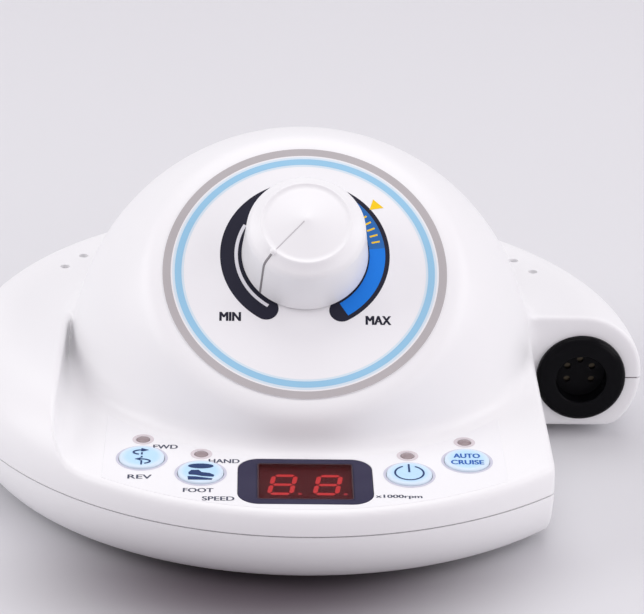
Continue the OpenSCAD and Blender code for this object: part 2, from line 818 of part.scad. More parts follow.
// Knob as a solid of revolution, shrunk by a depth
module knob_form(inset) {
    rotate_extrude() polygon(concat([[0, knob_low]], knob_line(inset)));
}

// Upright slab along the pointer's direction, from the peak outwards
module pointer_slab(w) {
    rotate([0, 0, pointer_rest]) span([pointer_w, -w / 2, knob_gap], [2 * knob_r, w / 2, 2 * knob_h]);
}

// White speed knob, hollow under its skirt, with a hub for the collet
module speed_knob() color("white") on_dial() difference() {
    knob_form(0);
    difference() {
        pointer_slab(pointer_w);
        knob_form(pointer_d);
    }
    difference() {
        translate([0, 0, -over]) cylinder(r = knob_r - knob_draft - knob_wall, h = hollow_h + over);
        translate([0, 0, neck_top]) cylinder(r = collet_r + knob_wall, h = knob_h);
    }
    translate([0, 0, -over]) cylinder(r = collet_r + run_gap, h = collet_top + over);
}

// Dark line let into the knob
module knob_pointer() color("dimgray") on_dial() difference() {
    intersection() {
        knob_form(0);
        pointer_slab(pointer_w - 2 * run_gap);
    }
    knob_form(pointer_d);
}

// Brass collet that grips the shaft
module knob_collet() color("goldenrod") on_dial() ring(collet_r, shaft_r + run_gap, neck_top, collet_top);

// Shaft of the potentiometer, which turns with the knob
module dial_shaft() color("silver") on_dial()
    translate([0, 0, wiper_z]) cylinder(r = shaft_r, h = collet_top - wiper_z);

// Wiper disc on the shaft's inner end
module dial_wiper() color("sienna") on_dial() difference() {
    ring(can_r - can_wall - 2 * wiper_gap, shaft_r + run_gap, wiper_z, wiper_z + wiper_t);
    translate([0, -can_r, wiper_z - over]) cube([2 * can_r, 2 * can_r, wiper_t + 2 * over]);
}

// Can of the potentiometer with its threaded neck
module dial_can() color("lightgray") on_dial() difference() {
    union() {
        translate([0, 0, can_floor]) cylinder(r = can_r, h = can_h);
        translate([0, 0, -wall - can_wall]) cylinder(r = neck_r, h = neck_h + wall + can_wall);
    }
    translate([0, 0, track_low]) cylinder(r = can_r - can_wall, h = can_h - 2 * can_wall);
    translate([0, 0, track_low]) cylinder(r = shaft_r + run_gap, h = can_h + neck_h + wall);
}

// Resistive ring on the can's floor
module dial_track() color("black") on_dial()
    ring(can_r - can_wall - fit_gap, shaft_r + wiper_gap, track_low, track_low + track_t);

// Three soldering tags on the can's side
module dial_terminals() color("silver") on_dial()
    for (x = terminal_pitch * [-1, 0, 1]) {
        reach = sqrt(can_r * can_r - x * x);
        span([x - terminal_w / 2, -reach - terminal_l, terminal_z],
             [x + terminal_w / 2, -reach + can_wall / 2, terminal_z + terminal_t]);
    }

// Washer and nut that hold the potentiometer to the face
module dial_washer() color("silver") on_dial()
    ring(nut_w / 2 + washer_t, neck_r + run_gap, sheet_t, sheet_t + washer_t);

// Six-sided nut on the potentiometer's neck
module dial_nut() color("silver") on_dial() difference() {
    translate([0, 0, sheet_t + washer_t]) cylinder(d = nut_w, h = nut_t, $fn = 6);
    cylinder(r = neck_r + run_gap, h = neck_h * 2);
}

// Printed sheet on the key panel, cut out for keys, lamps and window
module panel_sheet() color("whitesmoke") on_panel() linear_extrude(sheet_t) difference() {
    intersection() {
        translate([-sheet_x, -case_r]) square([2 * sheet_x, case_r + socket_y - dome_r / 2]);
        circle(case_r - sheet_rim);
    }
    circle(dome_r + sheet_foot);
    for (p = KEYS) {
        translate(p) circle(key_r + key_gap);
        translate([p[0], p[1] + lamp_back]) circle(lamp_r + fit_gap);
    }
    translate([0, window_y]) round_rect(window_w + 2 * fit_gap, window_l + 2 * fit_gap, window_r + fit_gap);
}

// Smoked window over the display
module display_window() color([0.2, 0.2, 0.3, 0.6]) on_panel()
    translate([0, window_y, sheet_t - window_t]) linear_extrude(window_t)
        round_rect(window_w, window_l, window_r);

// Two-digit display module on the control board
module display_module() color("darkred") on_panel()
    translate([0, window_y, board_top + module_h / 2]) cube([module_w, module_l, module_h], center = true);

// One bar of a digit from a to b, with pointed ends, leaning with the digit
function lean(p) = [p[0] + p[1] * tan(digit_lean), p[1]];
function bar(a, b) =
    let (along = (b - a) / norm(b - a), across = [-along[1], along[0]] * bar_w / 2, nib = along * bar_w / 2,
         start = a + along * bar_gap, end = b - along * bar_gap)
    [for (p = [start, start + nib + across, end - nib + across, end, end - nib - across,
               start + nib - across]) lean(p)];

// Lit bars and points of both digits
module display_digits() color("red") on_panel()
    translate([0, window_y, board_top + module_h]) linear_extrude(bar_t)
        for (side = [-1, 1]) translate([side * digit_pitch / 2 - point_out, 0]) {
            x = (digit_w - bar_w) / 2;
            y = (digit_h - bar_w) / 2;
            for (ends = [[[-x, y], [x, y]], [[x, y], [x, 0]], [[x, 0], [x, -y]], [[x, -y], [-x, -y]],
                         [[-x, -y], [-x, 0]], [[-x, 0], [-x, y]], [[-x, 0], [x, 0]]])
                polygon(bar(ends[0], ends[1]));
            translate([digit_w / 2 + point_out, -digit_h / 2 + point_out]) circle(point_r);
        }

// Round key with a hidden flange under the panel
module key(k) {
    on_panel() translate([KEYS[k][0], KEYS[k][1], 0]) rotate_extrude() polygon([
        [0, key_low], [key_r + key_flange, key_low], [key_r + key_flange, key_seat], [key_r, key_seat],
        [key_r, key_top - key_bevel], [key_r - key_bevel, key_top - key_bevel / 4],
        [key_r - 3 * key_bevel, key_top], [0, key_top]]);
}
module key_direction() color("lightskyblue") key(0);
module key_hand_foot() color("lightskyblue") key(1);
module key_power() color("lightskyblue") key(2);
module key_cruise() color("lightskyblue") key(3);

// Switch plunger under a key, which travels with it
module plunger(k) {
    on_panel() translate([KEYS[k][0], KEYS[k][1], plunger_low])
        cylinder(r = plunger_r, h = key_low - plunger_low);
}
module plunger_direction() color("dimgray") plunger(0);
module plunger_hand_foot() color("dimgray") plunger(1);
module plunger_power() color("dimgray") plunger(2);
module plunger_cruise() color("dimgray") plunger(3);

// Bodies of the four switches on the control board
module switch_bodies() color("black") on_panel()
    for (p = KEYS) translate([p[0], p[1], board_top]) difference() {
        translate([-switch_w / 2, -switch_w / 2, 0]) cube([switch_w, switch_w, switch_h]);
        translate([0, 0, switch_floor]) cylinder(r = plunger_r + run_gap, h = switch_h);
    }

// Four indicator lamps that stand on the control board and end level with the sheet
module indicator_lamps() color("tan") on_panel()
    for (p = KEYS) translate([p[0], p[1] + lamp_back, 0]) rotate_extrude() polygon([
        [0, board_top], [lamp_r, board_top], [lamp_r, sheet_t],
        [lamp_r - lamp_bevel, sheet_t + lamp_crown], [0, sheet_t + lamp_crown]]);

// Control board under the panel
module control_board() color("darkgreen") on_panel() translate([0, 0, board_low]) difference() {
    linear_extrude(board_t) intersection() {
        translate([-board_x, -case_r]) square([2 * board_x, case_r + board_y]);
        circle(board_r);
    }
    for (p = BOARD_BOSSES)
        translate([p[0], p[1], -over]) cylinder(r = screw_r + fit_gap, h = board_t + 2 * over);
}

// Small screw with its head below, its thread upwards and its seat at height 0
module small_screw() {
    translate([0, 0, -screw_head_h]) cylinder(r = screw_head_r, h = screw_head_h);
    cylinder(r = screw_r, h = board_t + board_screw_l);
}

// Screws that hold the control board to the panel's bosses
module board_screws() color("silver") on_panel()
    for (p = BOARD_BOSSES) translate([p[0], p[1], board_low]) small_screw();

// Black shell of the motor socket: flange, mouth and barrel
module socket_shell() color("black") on_socket() difference() {
    union() {
        translate([0, 0, socket_front])
            cylinder(r1 = socket_flange_r - socket_bevel, r2 = socket_flange_r, h = socket_bevel);
        translate([0, 0, socket_front + socket_bevel])
            cylinder(r = socket_flange_r, h = socket_flange_t - socket_bevel);
        translate([0, 0, socket_y - socket_bevel])
            cylinder(r = socket_barrel_r, h = insert_back - socket_y + socket_bevel);
    }
    translate([0, 0, socket_front - over]) cylinder(r = socket_mouth_r, h = socket_mouth_d + 2 * over);
    translate([0, 0, contact_front]) cylinder(r = socket_insert_r + run_gap, h = socket_insert_l + over);
}

// Insulating insert with its contact holes
module socket_insert() color("dimgray") on_socket() difference() {
    translate([0, 0, contact_front]) cylinder(r = socket_insert_r, h = socket_insert_l);
    for (turn = CONTACT_TURNS) rotate(turn) translate([contact_ring_r, 0, contact_front - over])
        cylinder(r = contact_r + run_gap, h = socket_insert_l + 2 * over);
}

// Five contacts, sunk in the insert and standing out behind it
module socket_contacts() color("gold") on_socket()
    for (turn = CONTACT_TURNS) rotate(turn) translate([contact_ring_r, 0, contact_front + contact_sunk])
        cylinder(r = contact_r, h = socket_insert_l - contact_sunk + contact_tail);

// Ring nut that pulls the socket against the case from inside
module socket_ring_nut() color("silver") on_socket()
    ring(ring_nut_r, socket_barrel_r + run_gap, socket_y + wall, socket_y + wall + ring_nut_t);

// Mains inlet: flange, body, plug recess and the fuse drawer's slot
module mains_inlet() color("black") difference() {
    union() {
        translate([0, inlet_front, part_z]) rotate([90, 0, 0])
            linear_extrude(inlet_flange_t) round_rect(inlet_w, inlet_h, inlet_corner);
        span([-inlet_w / 2 + inlet_margin, inlet_back, inlet_low + inlet_margin],
             [inlet_w / 2 - inlet_margin, rear_y + inlet_flange_t / 2, inlet_high - inlet_margin]);
    }
    span([-recess_w / 2, recess_floor, recess_z], [recess_w / 2, inlet_front + over, recess_z + recess_h]);
    span([-drawer_w / 2 - drawer_gap, inlet_front - drawer_l - drawer_back, drawer_z - drawer_gap],
         [drawer_w / 2 + drawer_gap, inlet_front + over, drawer_z + drawer_h + drawer_gap]);
}

// Three blades on the recess's floor, the middle one raised
module inlet_blades() color("silver")
    for (side = [-1, 0, 1]) {
        x = side * blade_pitch / 2;
        z = blade_z + (side == 0 ? blade_step : 0);
        span([x - blade_w / 2, recess_floor, z - blade_h / 2],
             [x + blade_w / 2, recess_floor + blade_l, z + blade_h / 2]);
    }

// Fuse drawer, a tray with a front that pulls out to the rear
module fuse_drawer() color("dimgray") difference() {
    union() {
        span([-drawer_w / 2, inlet_front - drawer_l, drawer_z],
             [drawer_w / 2, drawer_seat, drawer_z + drawer_h]);
        span([-drawer_w / 2 - drawer_lip, drawer_seat, drawer_z - drawer_lip],
             [drawer_w / 2 + drawer_lip, drawer_seat + drawer_front, drawer_z + drawer_h + drawer_lip]);
    }
    translate([0, fuse_y - fuse_gap, fuse_z]) rotate([-90, 0, 0])
        cylinder(r = fuse_r + run_gap, h = fuse_l + 2 * fuse_gap);
    span([-fuse_r - run_gap, fuse_y - fuse_gap, fuse_z],
         [fuse_r + run_gap, fuse_y + fuse_l + fuse_gap, drawer_z + drawer_h + over]);
}

// Glass fuse lying in the drawer
module fuse() color("lightcyan")
    translate([0, fuse_y, fuse_z]) rotate([-90, 0, 0]) cylinder(r = fuse_r, h = fuse_l);

// Jack for the foot pedal: body inside, neck through the rear flat
module pedal_jack() color("black") translate([jack_x, 0, part_z]) difference() {
    neck_l = rear_cut_d + wall;
    union() {
        span([-jack_w / 2, rear_y - wall - jack_l, -jack_w / 2], [jack_w / 2, rear_y - wall, jack_w / 2]);
        translate([0, rear_y - 2 * wall, 0]) rotate([-90, 0, 0])
            cylinder(r = jack_neck_r, h = neck_l + wall);
    }
    translate([0, case_r + over, 0]) rotate([90, 0, 0])
        cylinder(r = jack_bore_r, h = over + neck_l + jack_l - jack_floor);
}

// Nut on the jack's neck
module pedal_jack_nut() color("silver")
    translate([jack_x, rear_y + jack_nut_t, part_z]) rotate([90, 0, 0]) difference() {
        cylinder(d = jack_nut_w, h = jack_nut_t, $fn = 6);
        translate([0, 0, -over]) cylinder(r = jack_neck_r + run_gap, h = jack_nut_t + 2 * over);
    }

// Rubber pad under the transformer
module coil_pad() color("black") translate([coil_x, coil_y, 0])
    ring(coil_r - pad_t / 2, coil_hole_r, floor_z, floor_z + pad_t);

// Ring-shaped transformer with rounded edges
module coil_winding() color("darkorange") translate([coil_x, coil_y, floor_z + pad_t]) rotate_extrude()
    translate([(coil_r + coil_hole_r) / 2, coil_h / 2]) round_rect(coil_r - coil_hole_r, coil_h, coil_edge);

// Dished plate that clamps the transformer
module coil_plate() color("silver") translate([coil_x, coil_y, 0])
    ring(plate_r, bolt_r + fit_gap, coil_top, coil_top + pad_t);

// Bolt through the plate into the floor's boss
module coil_bolt() color("silver") translate([coil_x, coil_y, 0]) {
    translate([0, 0, coil_top + pad_t]) cylinder(r = 2 * bolt_r, h = bolt_r, $fn = 6);
    translate([0, 0, floor_z + tip_room]) cylinder(r = bolt_r, h = coil_top + pad_t - floor_z);
}

// Main board on the floor's bosses
module main_board() color("darkgreen") difference() {
    span([main_x, main_y, main_z], [main_x + main_w, main_y + main_l, main_top]);
    for (p = MAIN_BOSSES)
        translate([p[0], p[1], main_z - over]) cylinder(r = screw_r + fit_gap, h = board_t + 2 * over);
}

// Screws that hold the main board down
module main_board_screws() color("silver")
    for (p = MAIN_BOSSES) translate([p[0], p[1], main_top]) rotate([180, 0, 0]) small_screw();

// Finned heat sink along the main board's rear
module heat_sink() color("gray") {
    pitch = (sink_right - sink_left - fin_t) / (fin_n - 1);
    span([sink_left, sink_y, main_top], [sink_right, sink_y + sink_t, main_top + sink_h]);
    for (k = [0:fin_n - 1])
        translate([sink_left + k * pitch, sink_y + sink_t / 2, main_top])
            cube([fin_t, fin_d - sink_t / 2, sink_h]);
}

// Power transistors against the heat sink
module power_transistors() color("black") {
    pitch = (sink_right - sink_left - transistor_w) / 2;
    for (k = [0:2])
        translate([sink_left + k * pitch, sink_y - transistor_t, main_top])
            cube([transistor_w, transistor_t, transistor_h]);
}

// Capacitors on the main board
module capacitors() color("midnightblue")
    for (k = [0, 1])
        translate([main_x + cap_side + k * cap_pitch, cap_y, main_top])
            cylinder(r = cap_r, h = cap_h);

// Headers that the leads end in, on the main board
module board_headers() color("ivory") {
    translate([ribbon_x, main_y + header_edge, main_top]) cube([header_w, header_l, header_h]);
    translate([coil_lead_x, coil_y - header_l / 2, main_top]) cube([header_l, header_l, header_h]);
    translate([motor_lead_x - header_l, motor_lead_y - header_l / 2, main_top])
        cube([header_l, header_l, header_h]);
}

// Ribbon from the control board down, along the floor and up over the main board's header
module ribbon() color("lightgray") {
    start_y = board_y - ribbon_edge;
    start_z = panel_at(start_y) + board_low - pass_gap;
    low_z = floor_z + ribbon_t;
    side_strip([[start_y, start_z], [start_y, low_z], [main_y - ribbon_edge, low_z],
                [main_y - ribbon_edge, ribbon_top], [main_y + header_l, ribbon_top]],
               ribbon_t, ribbon_x, header_w);
}

// Lead from the potentiometer's tags down to the control board
module dial_lead() color("silver") {
    tag = [knob_up - can_r - terminal_l, face_d + terminal_z - lead_t / 2];
    start = [tag[0] * cos(face_tilt) - tag[1] * sin(face_tilt) - fit_gap,
             dome_z + tag[0] * sin(face_tilt) + tag[1] * cos(face_tilt) - fit_gap];
    end_y = board_y - dial_lead_foot;
    end = [end_y, panel_at(end_y) + board_top + lead_t];
    side_strip([start, [start[0] - dial_lead_bow, (start[1] + end[1]) / 2], end],
               lead_t, -dial_lead_w / 2, dial_lead_w);
}

// Lead from the motor socket's contacts to the main board
module motor_lead() color("black") translate([0, 0, main_top + lead_up]) linear_extrude(lead_h) strip([
    [socket_x, insert_back + contact_tail + pass_gap], [socket_x, motor_lead_y],
    [motor_lead_x + pass_gap, motor_lead_y]], lead_t);

// Lead from the mains inlet to the transformer
module mains_lead() color("brown") translate([0, 0, part_z - lead_h / 2]) linear_extrude(lead_h) {
    turn_y = (inlet_back + coil_y + coil_r) / 2;
    strip([[mains_lead_x, inlet_back], [mains_lead_x, turn_y],
           [coil_x, turn_y], [coil_x, coil_y + coil_r + pass_gap]], lead_t);
}

// Lead from the transformer to the main board
module coil_lead() color("orange") translate([0, 0, main_top + lead_up]) linear_extrude(lead_h) strip([
    [coil_x + coil_r + pass_gap, coil_y], [coil_lead_x - pass_gap, coil_y]], lead_t);

// Four screws that hold the case halves together
module case_screws() color("silver")
    for (p = CASE_SCREWS) translate([p[0], p[1], case_seat_z]) {
        translate([0, 0, -case_head_h]) cylinder(r = case_head_r, h = case_head_h);
        cylinder(r = case_screw_r, h = part_z - case_seat_z + case_thread_l);
    }

// Four rubber feet
module rubber_feet() color("black")
    for (p = FEET) translate([p[0], p[1], 0]) {
        cylinder(r1 = foot_r - foot_bevel, r2 = foot_r, h = foot_bevel);
        translate([0, 0, foot_bevel]) cylinder(r = foot_r, h = base_z + foot_seat - foot_bevel);
    }

upper_case();
side_wing();
dome_cover();
key_panel();
lower_case();
dial_sheet();
speed_knob();
knob_pointer();
knob_collet();
dial_shaft();
dial_wiper();
dial_can();
dial_track();
dial_terminals();
dial_washer();
dial_nut();
panel_sheet();
display_window();
display_module();
display_digits();
key_direction();
key_hand_foot();
key_power();
key_cruise();
plunger_direction();
plunger_hand_foot();
plunger_power();
plunger_cruise();
switch_bodies();
indicator_lamps();
control_board();
board_screws();
socket_shell();
socket_insert();
socket_contacts();
socket_ring_nut();
mains_inlet();
inlet_blades();
fuse_drawer();
fuse();
pedal_jack();
pedal_jack_nut();
coil_pad();
coil_winding();
coil_plate();
coil_bolt();
main_board();
main_board_screws();
heat_sink();
power_transistors();
capacitors();
board_headers();
ribbon();
dial_lead();
motor_lead();
mains_lead();
coil_lead();
case_screws();
rubber_feet();
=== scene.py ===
import json
import math
from contextlib import contextmanager

import bmesh
import bpy
import numpy as np
from mathutils import Matrix, Vector

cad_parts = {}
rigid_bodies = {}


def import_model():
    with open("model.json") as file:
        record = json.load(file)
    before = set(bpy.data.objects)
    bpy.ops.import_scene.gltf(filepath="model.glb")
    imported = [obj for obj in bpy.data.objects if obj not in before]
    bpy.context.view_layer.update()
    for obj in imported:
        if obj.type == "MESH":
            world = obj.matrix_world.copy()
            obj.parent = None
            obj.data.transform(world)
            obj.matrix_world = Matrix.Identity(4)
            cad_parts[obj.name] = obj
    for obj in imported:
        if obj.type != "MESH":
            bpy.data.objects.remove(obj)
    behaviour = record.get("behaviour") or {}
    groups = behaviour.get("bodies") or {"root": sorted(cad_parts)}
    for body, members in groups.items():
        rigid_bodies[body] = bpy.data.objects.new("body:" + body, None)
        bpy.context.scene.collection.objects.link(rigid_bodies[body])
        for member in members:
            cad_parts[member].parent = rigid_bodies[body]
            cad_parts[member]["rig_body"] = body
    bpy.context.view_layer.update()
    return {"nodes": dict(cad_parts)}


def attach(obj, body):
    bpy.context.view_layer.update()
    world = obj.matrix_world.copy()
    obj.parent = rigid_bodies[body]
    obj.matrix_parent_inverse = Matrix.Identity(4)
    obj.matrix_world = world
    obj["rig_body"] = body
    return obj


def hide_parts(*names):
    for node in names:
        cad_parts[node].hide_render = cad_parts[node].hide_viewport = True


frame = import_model()

# Studio: a pale lavender sweep of paper, with a shadow painted under the unit's front, between soft boxes
# above and at both sides, with a fill in front.
# A long lens looks down on the unit from the front, a little to its right.
MM = 0.001
scene = bpy.context.scene
scene.view_settings.view_transform = "Standard"

IMAGE_WIDTH_PX = 644
IMAGE_HEIGHT_PX = 614
LENS_PX = 2726.5
CAMERA_DISTANCE = 836.82
CAMERA_PITCH = math.radians(23.28)
CAMERA_YAW = math.radians(1.80)
CAMERA_ROLL = math.radians(1.33)
AIM = Vector((0, 0, 40))
AIM_PX = Vector((301.36, 315.88))
SENSOR_WIDTH = 36
FAR_CLIP = 20
PAPER_TONES = ((0.68, 0.68, 0.70), (0.71, 0.71, 0.73))
# A shadow painted on the paper under the unit's front: its colour, squeeze, middle and reach.
PAINTED_SHADOW_TONE = (0.135, 0.115, 0.13)
PAINTED_SHADOW_SQUEEZE = (1, 1.8, 1)
PAINTED_SHADOW_AT = (-0.011, -0.176, 0)
PAINTED_SHADOW_REACH = (0.003, 0.107)

forward = Vector((math.sin(CAMERA_YAW) * math.cos(CAMERA_PITCH),
                  math.cos(CAMERA_YAW) * math.cos(CAMERA_PITCH),
                  -math.sin(CAMERA_PITCH)))
level = Vector((math.cos(CAMERA_YAW), -math.sin(CAMERA_YAW), 0))
plumb = forward.cross(level)
right = level * math.cos(CAMERA_ROLL) - plumb * math.sin(CAMERA_ROLL)
down = level * math.sin(CAMERA_ROLL) + plumb * math.cos(CAMERA_ROLL)
aside = (AIM_PX.x - IMAGE_WIDTH_PX / 2) * CAMERA_DISTANCE / LENS_PX
below = (AIM_PX.y - IMAGE_HEIGHT_PX / 2) * CAMERA_DISTANCE / LENS_PX
eye = (AIM - right * aside - down * below - forward * CAMERA_DISTANCE) * MM


def held(name, data):
    """New object in the scene that holds a mesh, a lamp, a lens or letters."""
    holder = bpy.data.objects.new(name, data)
    scene.collection.objects.link(holder)
    return holder


lens = bpy.data.cameras.new("lens")
lens.sensor_width = SENSOR_WIDTH
lens.lens = LENS_PX * SENSOR_WIDTH / IMAGE_WIDTH_PX
lens.clip_end = FAR_CLIP
turn = Matrix((right, -down, -forward)).transposed()
scene.camera = held("camera", lens)
scene.camera.matrix_world = Matrix.Translation(eye) @ turn.to_4x4()


def fed(tree, node, feeds):
    """Sets a node's sockets to values and opaque colours, or links them to other nodes' sockets."""
    for name, feed in feeds.items():
        socket = node.inputs[name]
        if isinstance(feed, bpy.types.NodeSocket):
            tree.links.new(feed, socket)
        else:
            socket.default_value = (*feed, 1) if socket.type == "RGBA" else feed
    return node


def wired(tree, kind, feeds, **settings):
    """New node of a kind, with its settings made and its sockets fed."""
    node = tree.nodes.new(kind)
    for setting, value in settings.items():
        setattr(node, setting, value)
    return fed(tree, node, feeds)


def object_spot(tree):
    """Socket that gives each point's place in the object."""
    return wired(tree, "ShaderNodeTexCoord", {}).outputs["Object"]


def noise(tree, spot, scale, detail=2):
    """Socket that gives a cloudy value at each place."""
    feeds = {"Vector": spot, "Scale": scale, "Detail": detail}
    return wired(tree, "ShaderNodeTexNoise", feeds).outputs["Fac"]


def mixed(tree, share, first, second):
    """Socket that gives a colour between two, by a share."""
    feeds = {"Factor": share, "A": first, "B": second}
    return wired(tree, "ShaderNodeMix", feeds, data_type="RGBA").outputs["Result"]


def summed(tree, operation, *terms):
    """Socket that gives a sum, product or other simple operation on numbers."""
    return wired(tree, "ShaderNodeMath", dict(enumerate(terms)), operation=operation).outputs["Value"]


def ramped(tree, value, settings, blend="LINEAR"):
    """Socket that carries a value from one range over to another."""
    ramp = wired(tree, "ShaderNodeMapRange", {"Value": value, **settings}, interpolation_type=blend)
    return ramp.outputs["Result"]


def new_material(name):
    """Material with one principled shader, which is returned with the material and its tree."""
    material = bpy.data.materials.new(name)
    material.use_nodes = True
    return material, material.node_tree, material.node_tree.nodes["Principled BSDF"]


def studio_paper():
    """Matt lavender paper with a slow drift of tone, and a painted shadow where the unit's front hangs over
    it.
    """
    material, tree, shader = new_material("studio_paper")
    spot = object_spot(tree)
    paper = mixed(tree, noise(tree, spot, scale=1.5), *PAPER_TONES)
    # Painted shadow: the paper turns darker within a reach of a point under the unit's front.
    narrow = wired(tree, "ShaderNodeVectorMath", {0: spot, 1: PAINTED_SHADOW_SQUEEZE}, operation="MULTIPLY")
    ends = {0: narrow.outputs["Vector"], 1: PAINTED_SHADOW_AT}
    away = wired(tree, "ShaderNodeVectorMath", ends, operation="DISTANCE")
    reach = {"From Min": PAINTED_SHADOW_REACH[0], "From Max": PAINTED_SHADOW_REACH[1]}
    clear = ramped(tree, away.outputs["Value"], reach, "SMOOTHERSTEP")
    fed(tree, shader, {"Base Color": mixed(tree, clear, PAINTED_SHADOW_TONE, paper), "Roughness": 0.85,
                       "Specular IOR Level": 0.15})
    return material


def strip(steps):
    """Faces of a band whose corners are given in pairs, one from each side."""
    return [(2 * k, 2 * k + 1, 2 * k + 3, 2 * k + 2) for k in range(steps)]


def paper_sweep(half, rear, bend, steps):
    """Floor that curves up into a wall behind the object."""
    line = [(-half, 0.0), (rear, 0.0)]
    for k in range(1, steps + 1):
        angle = math.pi / 2 * k / steps
        line.append((rear + bend * math.sin(angle), bend * (1 - math.cos(angle))))
    line.append((rear + bend, half))
    verts = [(side * half, y, z) for y, z in line for side in (-1, 1)]
    mesh = bpy.data.meshes.new("paper_sweep")
    mesh.from_pydata(verts, [], strip(len(line) - 1))
    mesh.shade_smooth()
    mesh.materials.append(studio_paper())
    return held("paper_sweep", mesh)


paper_sweep(half=3.0, rear=0.9, bend=0.6, steps=16)


def soft_box(name, place, size, power, tint):
    """Square area lamp that faces the middle of the unit."""
    lamp = bpy.data.lights.new(name, "AREA")
    lamp.shape = "SQUARE"
    lamp.size = size
    lamp.energy = power
    lamp.color = tint
    holder = held(name, lamp)
    holder.location = place
    holder.rotation_euler = (AIM * MM - Vector(place)).to_track_quat("-Z", "Y").to_euler()


soft_box("overhead_box", place=(0.0, 0.33, 1.12), size=1.0, power=4.1, tint=(0.98, 1.0, 0.985))
soft_box("left_box", place=(-1.2, -0.05, 0.75), size=0.9, power=6.5, tint=(0.98, 1.0, 0.99))
soft_box("right_box", place=(1.2, -0.05, 0.75), size=0.9, power=4.9, tint=(0.98, 1.0, 0.99))
soft_box("front_fill", place=(1.35, -1.1, 0.55), size=0.8, power=3.6, tint=(1.0, 0.97, 0.99))

world = bpy.data.worlds.new("studio_air")
world.use_nodes = True
fed(world.node_tree, world.node_tree.nodes["Background"], {"Color": (1.0, 0.93, 1.0), "Strength": 0.64})
scene.world = world

# Case shells: two halves moulded in glossy white plastic, held together by four screws from below.
# The upper half is one moulding of wing, dome and sunk key panel, with a notch for the motor socket.
CASE_R = 106
PART_Z = 20
WING_Z = 40
RIM_R = 18.5
WALL = 2.5
TONGUE_X = 71.2
SOCKET_Y = 1
REAR_Y = 100
DOME_R = 70.5
DOME_Z = 26.7
FACE_D = 54
FACE_TILT = math.radians(38.75)
PANEL_Z = 30.6
PANEL_TILT = math.radians(2.1)
MOULD_EDGE = 1.6
FACE_EDGE = 2.6
DOME_FOOT = 5.5
REAR_FOOT = 3.0
SLIT_FOOT = 0.5
SLIT_START = 4.2
SLIT_L = 13
WING_SOFT = 9.0
WING_SOFT_Y = -5
WING_SOFT_L = 45
REAR_SOFT_Y = 5
SHEET_SEAT = 0.2
KEYS = {"direction": (-46.1, -75), "hand_foot": (-29.3, -83.4),
        "power": (29.3, -83.4), "cruise": (46.1, -75)}
KEY_HOLE_R = 7.0
LAMP_BACK = 11.2
LAMP_HOLE_R = 2.4
WINDOW_Y = -87.5
WINDOW_HOLE = (19.1, 13.15)
WINDOW_HOLE_R = 6.2
SOCKET_AT = (87.2, 20)
SOCKET_HOLE_R = 11.6
INLET_HOLE = (13.6, 11.4)
JACK_X = 23.5
JACK_HOLE_R = 5.2
HOLE_REACH = 6
REST_RING_R = 83.6
REST_TURNS = (26.65, 34)
REST_HOLE_R = 1.5
REST_HOLE_D = 1.8
REST_PEG_UP = 4
NET_STEP = 1.3
NET_FINE = 0.5
NET_MARGIN = 3
FINE_ACROSS = [(-TONGUE_X - 3, -TONGUE_X + 3), (TONGUE_X - 2, TONGUE_X + 2)]
FINE_ALONG = [(SOCKET_Y - 2, SOCKET_Y + 2), (REAR_Y - 2, REAR_Y + 1)]
FINE_UP = [(WING_Z - 3, WING_Z + 1)]
EVEN_ROUNDS = 4
SETTLE_ROUNDS = 3
PROBE = 0.02
LEAST_SLOPE = 0.1
SHELL_CREASE = math.radians(50)


def smooth_max(a, b, k):
    """Larger of two distances, rounded where they meet within k."""
    near = np.clip(k - np.abs(a - b), 0, None)
    return np.maximum(a, b) + near * near / (4 * k)


def smooth_min(a, b, k):
    """Smaller of two distances, rounded where they meet within k."""
    return -smooth_max(-a, -b, k)


def round_corner(out, up, r):
    """Distance from a corner of radius r whose two sides lie at out and up equal to r."""
    return np.hypot(np.maximum(out, 0), np.maximum(up, 0)) + np.minimum(np.maximum(out, up), 0) - r


def panel_height(y, z):
    """Height over the key panel's plane."""
    return (z - PANEL_Z) * math.cos(PANEL_TILT) - y * math.sin(PANEL_TILT)


def upper_skin(x, y, z):
    """Distance from the outside of the upper case."""
    disc = round_corner(np.hypot(x, y) - CASE_R + RIM_R, z - WING_Z + RIM_R, RIM_R)
    ahead = np.clip((WING_SOFT_Y - y) / WING_SOFT_L, 0, 1)
    soft = WING_SOFT * ahead * ahead * (3 - 2 * ahead)
    tongue = smooth_max(disc, panel_height(y, z) - SHEET_SEAT, MOULD_EDGE)
    wing = smooth_max(disc, -np.maximum(-TONGUE_X - x, y - SOCKET_Y), MOULD_EDGE)
    ball = np.sqrt(x * x + y * y + (z - DOME_Z) ** 2) - DOME_R
    face = (z - DOME_Z) * math.cos(FACE_TILT) - y * math.sin(FACE_TILT) - FACE_D
    dome = smooth_max(ball, face, FACE_EDGE)
    front = smooth_min(tongue, dome, DOME_FOOT)
    front = smooth_max(front, x - TONGUE_X, MOULD_EDGE)
    closed = np.clip((y - SOCKET_Y) / SLIT_L + 1, 0, 1)
    behind = np.clip((y - REAR_SOFT_Y) / SLIT_L, 0, 1)
    foot = SLIT_FOOT + soft + (SLIT_START - SLIT_FOOT) * closed + (REAR_FOOT - SLIT_START) * behind
    body = np.maximum(smooth_min(front, wing, foot), smooth_min(disc, dome, DOME_FOOT))
    return smooth_max(body, y - REAR_Y, MOULD_EDGE)


def connector_holes(x, y, z):
    """Distance from the holes for the motor socket, the mains inlet and the pedal's jack."""
    socket = np.hypot(x - SOCKET_AT[0], z - SOCKET_AT[1]) - SOCKET_HOLE_R
    inlet = np.maximum(np.abs(x) - INLET_HOLE[0], np.abs(z - PART_Z) - INLET_HOLE[1])
    jack = np.hypot(x - JACK_X, z - PART_Z) - JACK_HOLE_R
    front = np.maximum(socket, np.abs(y - SOCKET_Y) - HOLE_REACH)
    rear = np.maximum(np.minimum(inlet, jack), np.abs(y - REAR_Y) - HOLE_REACH)
    return np.minimum(front, rear)


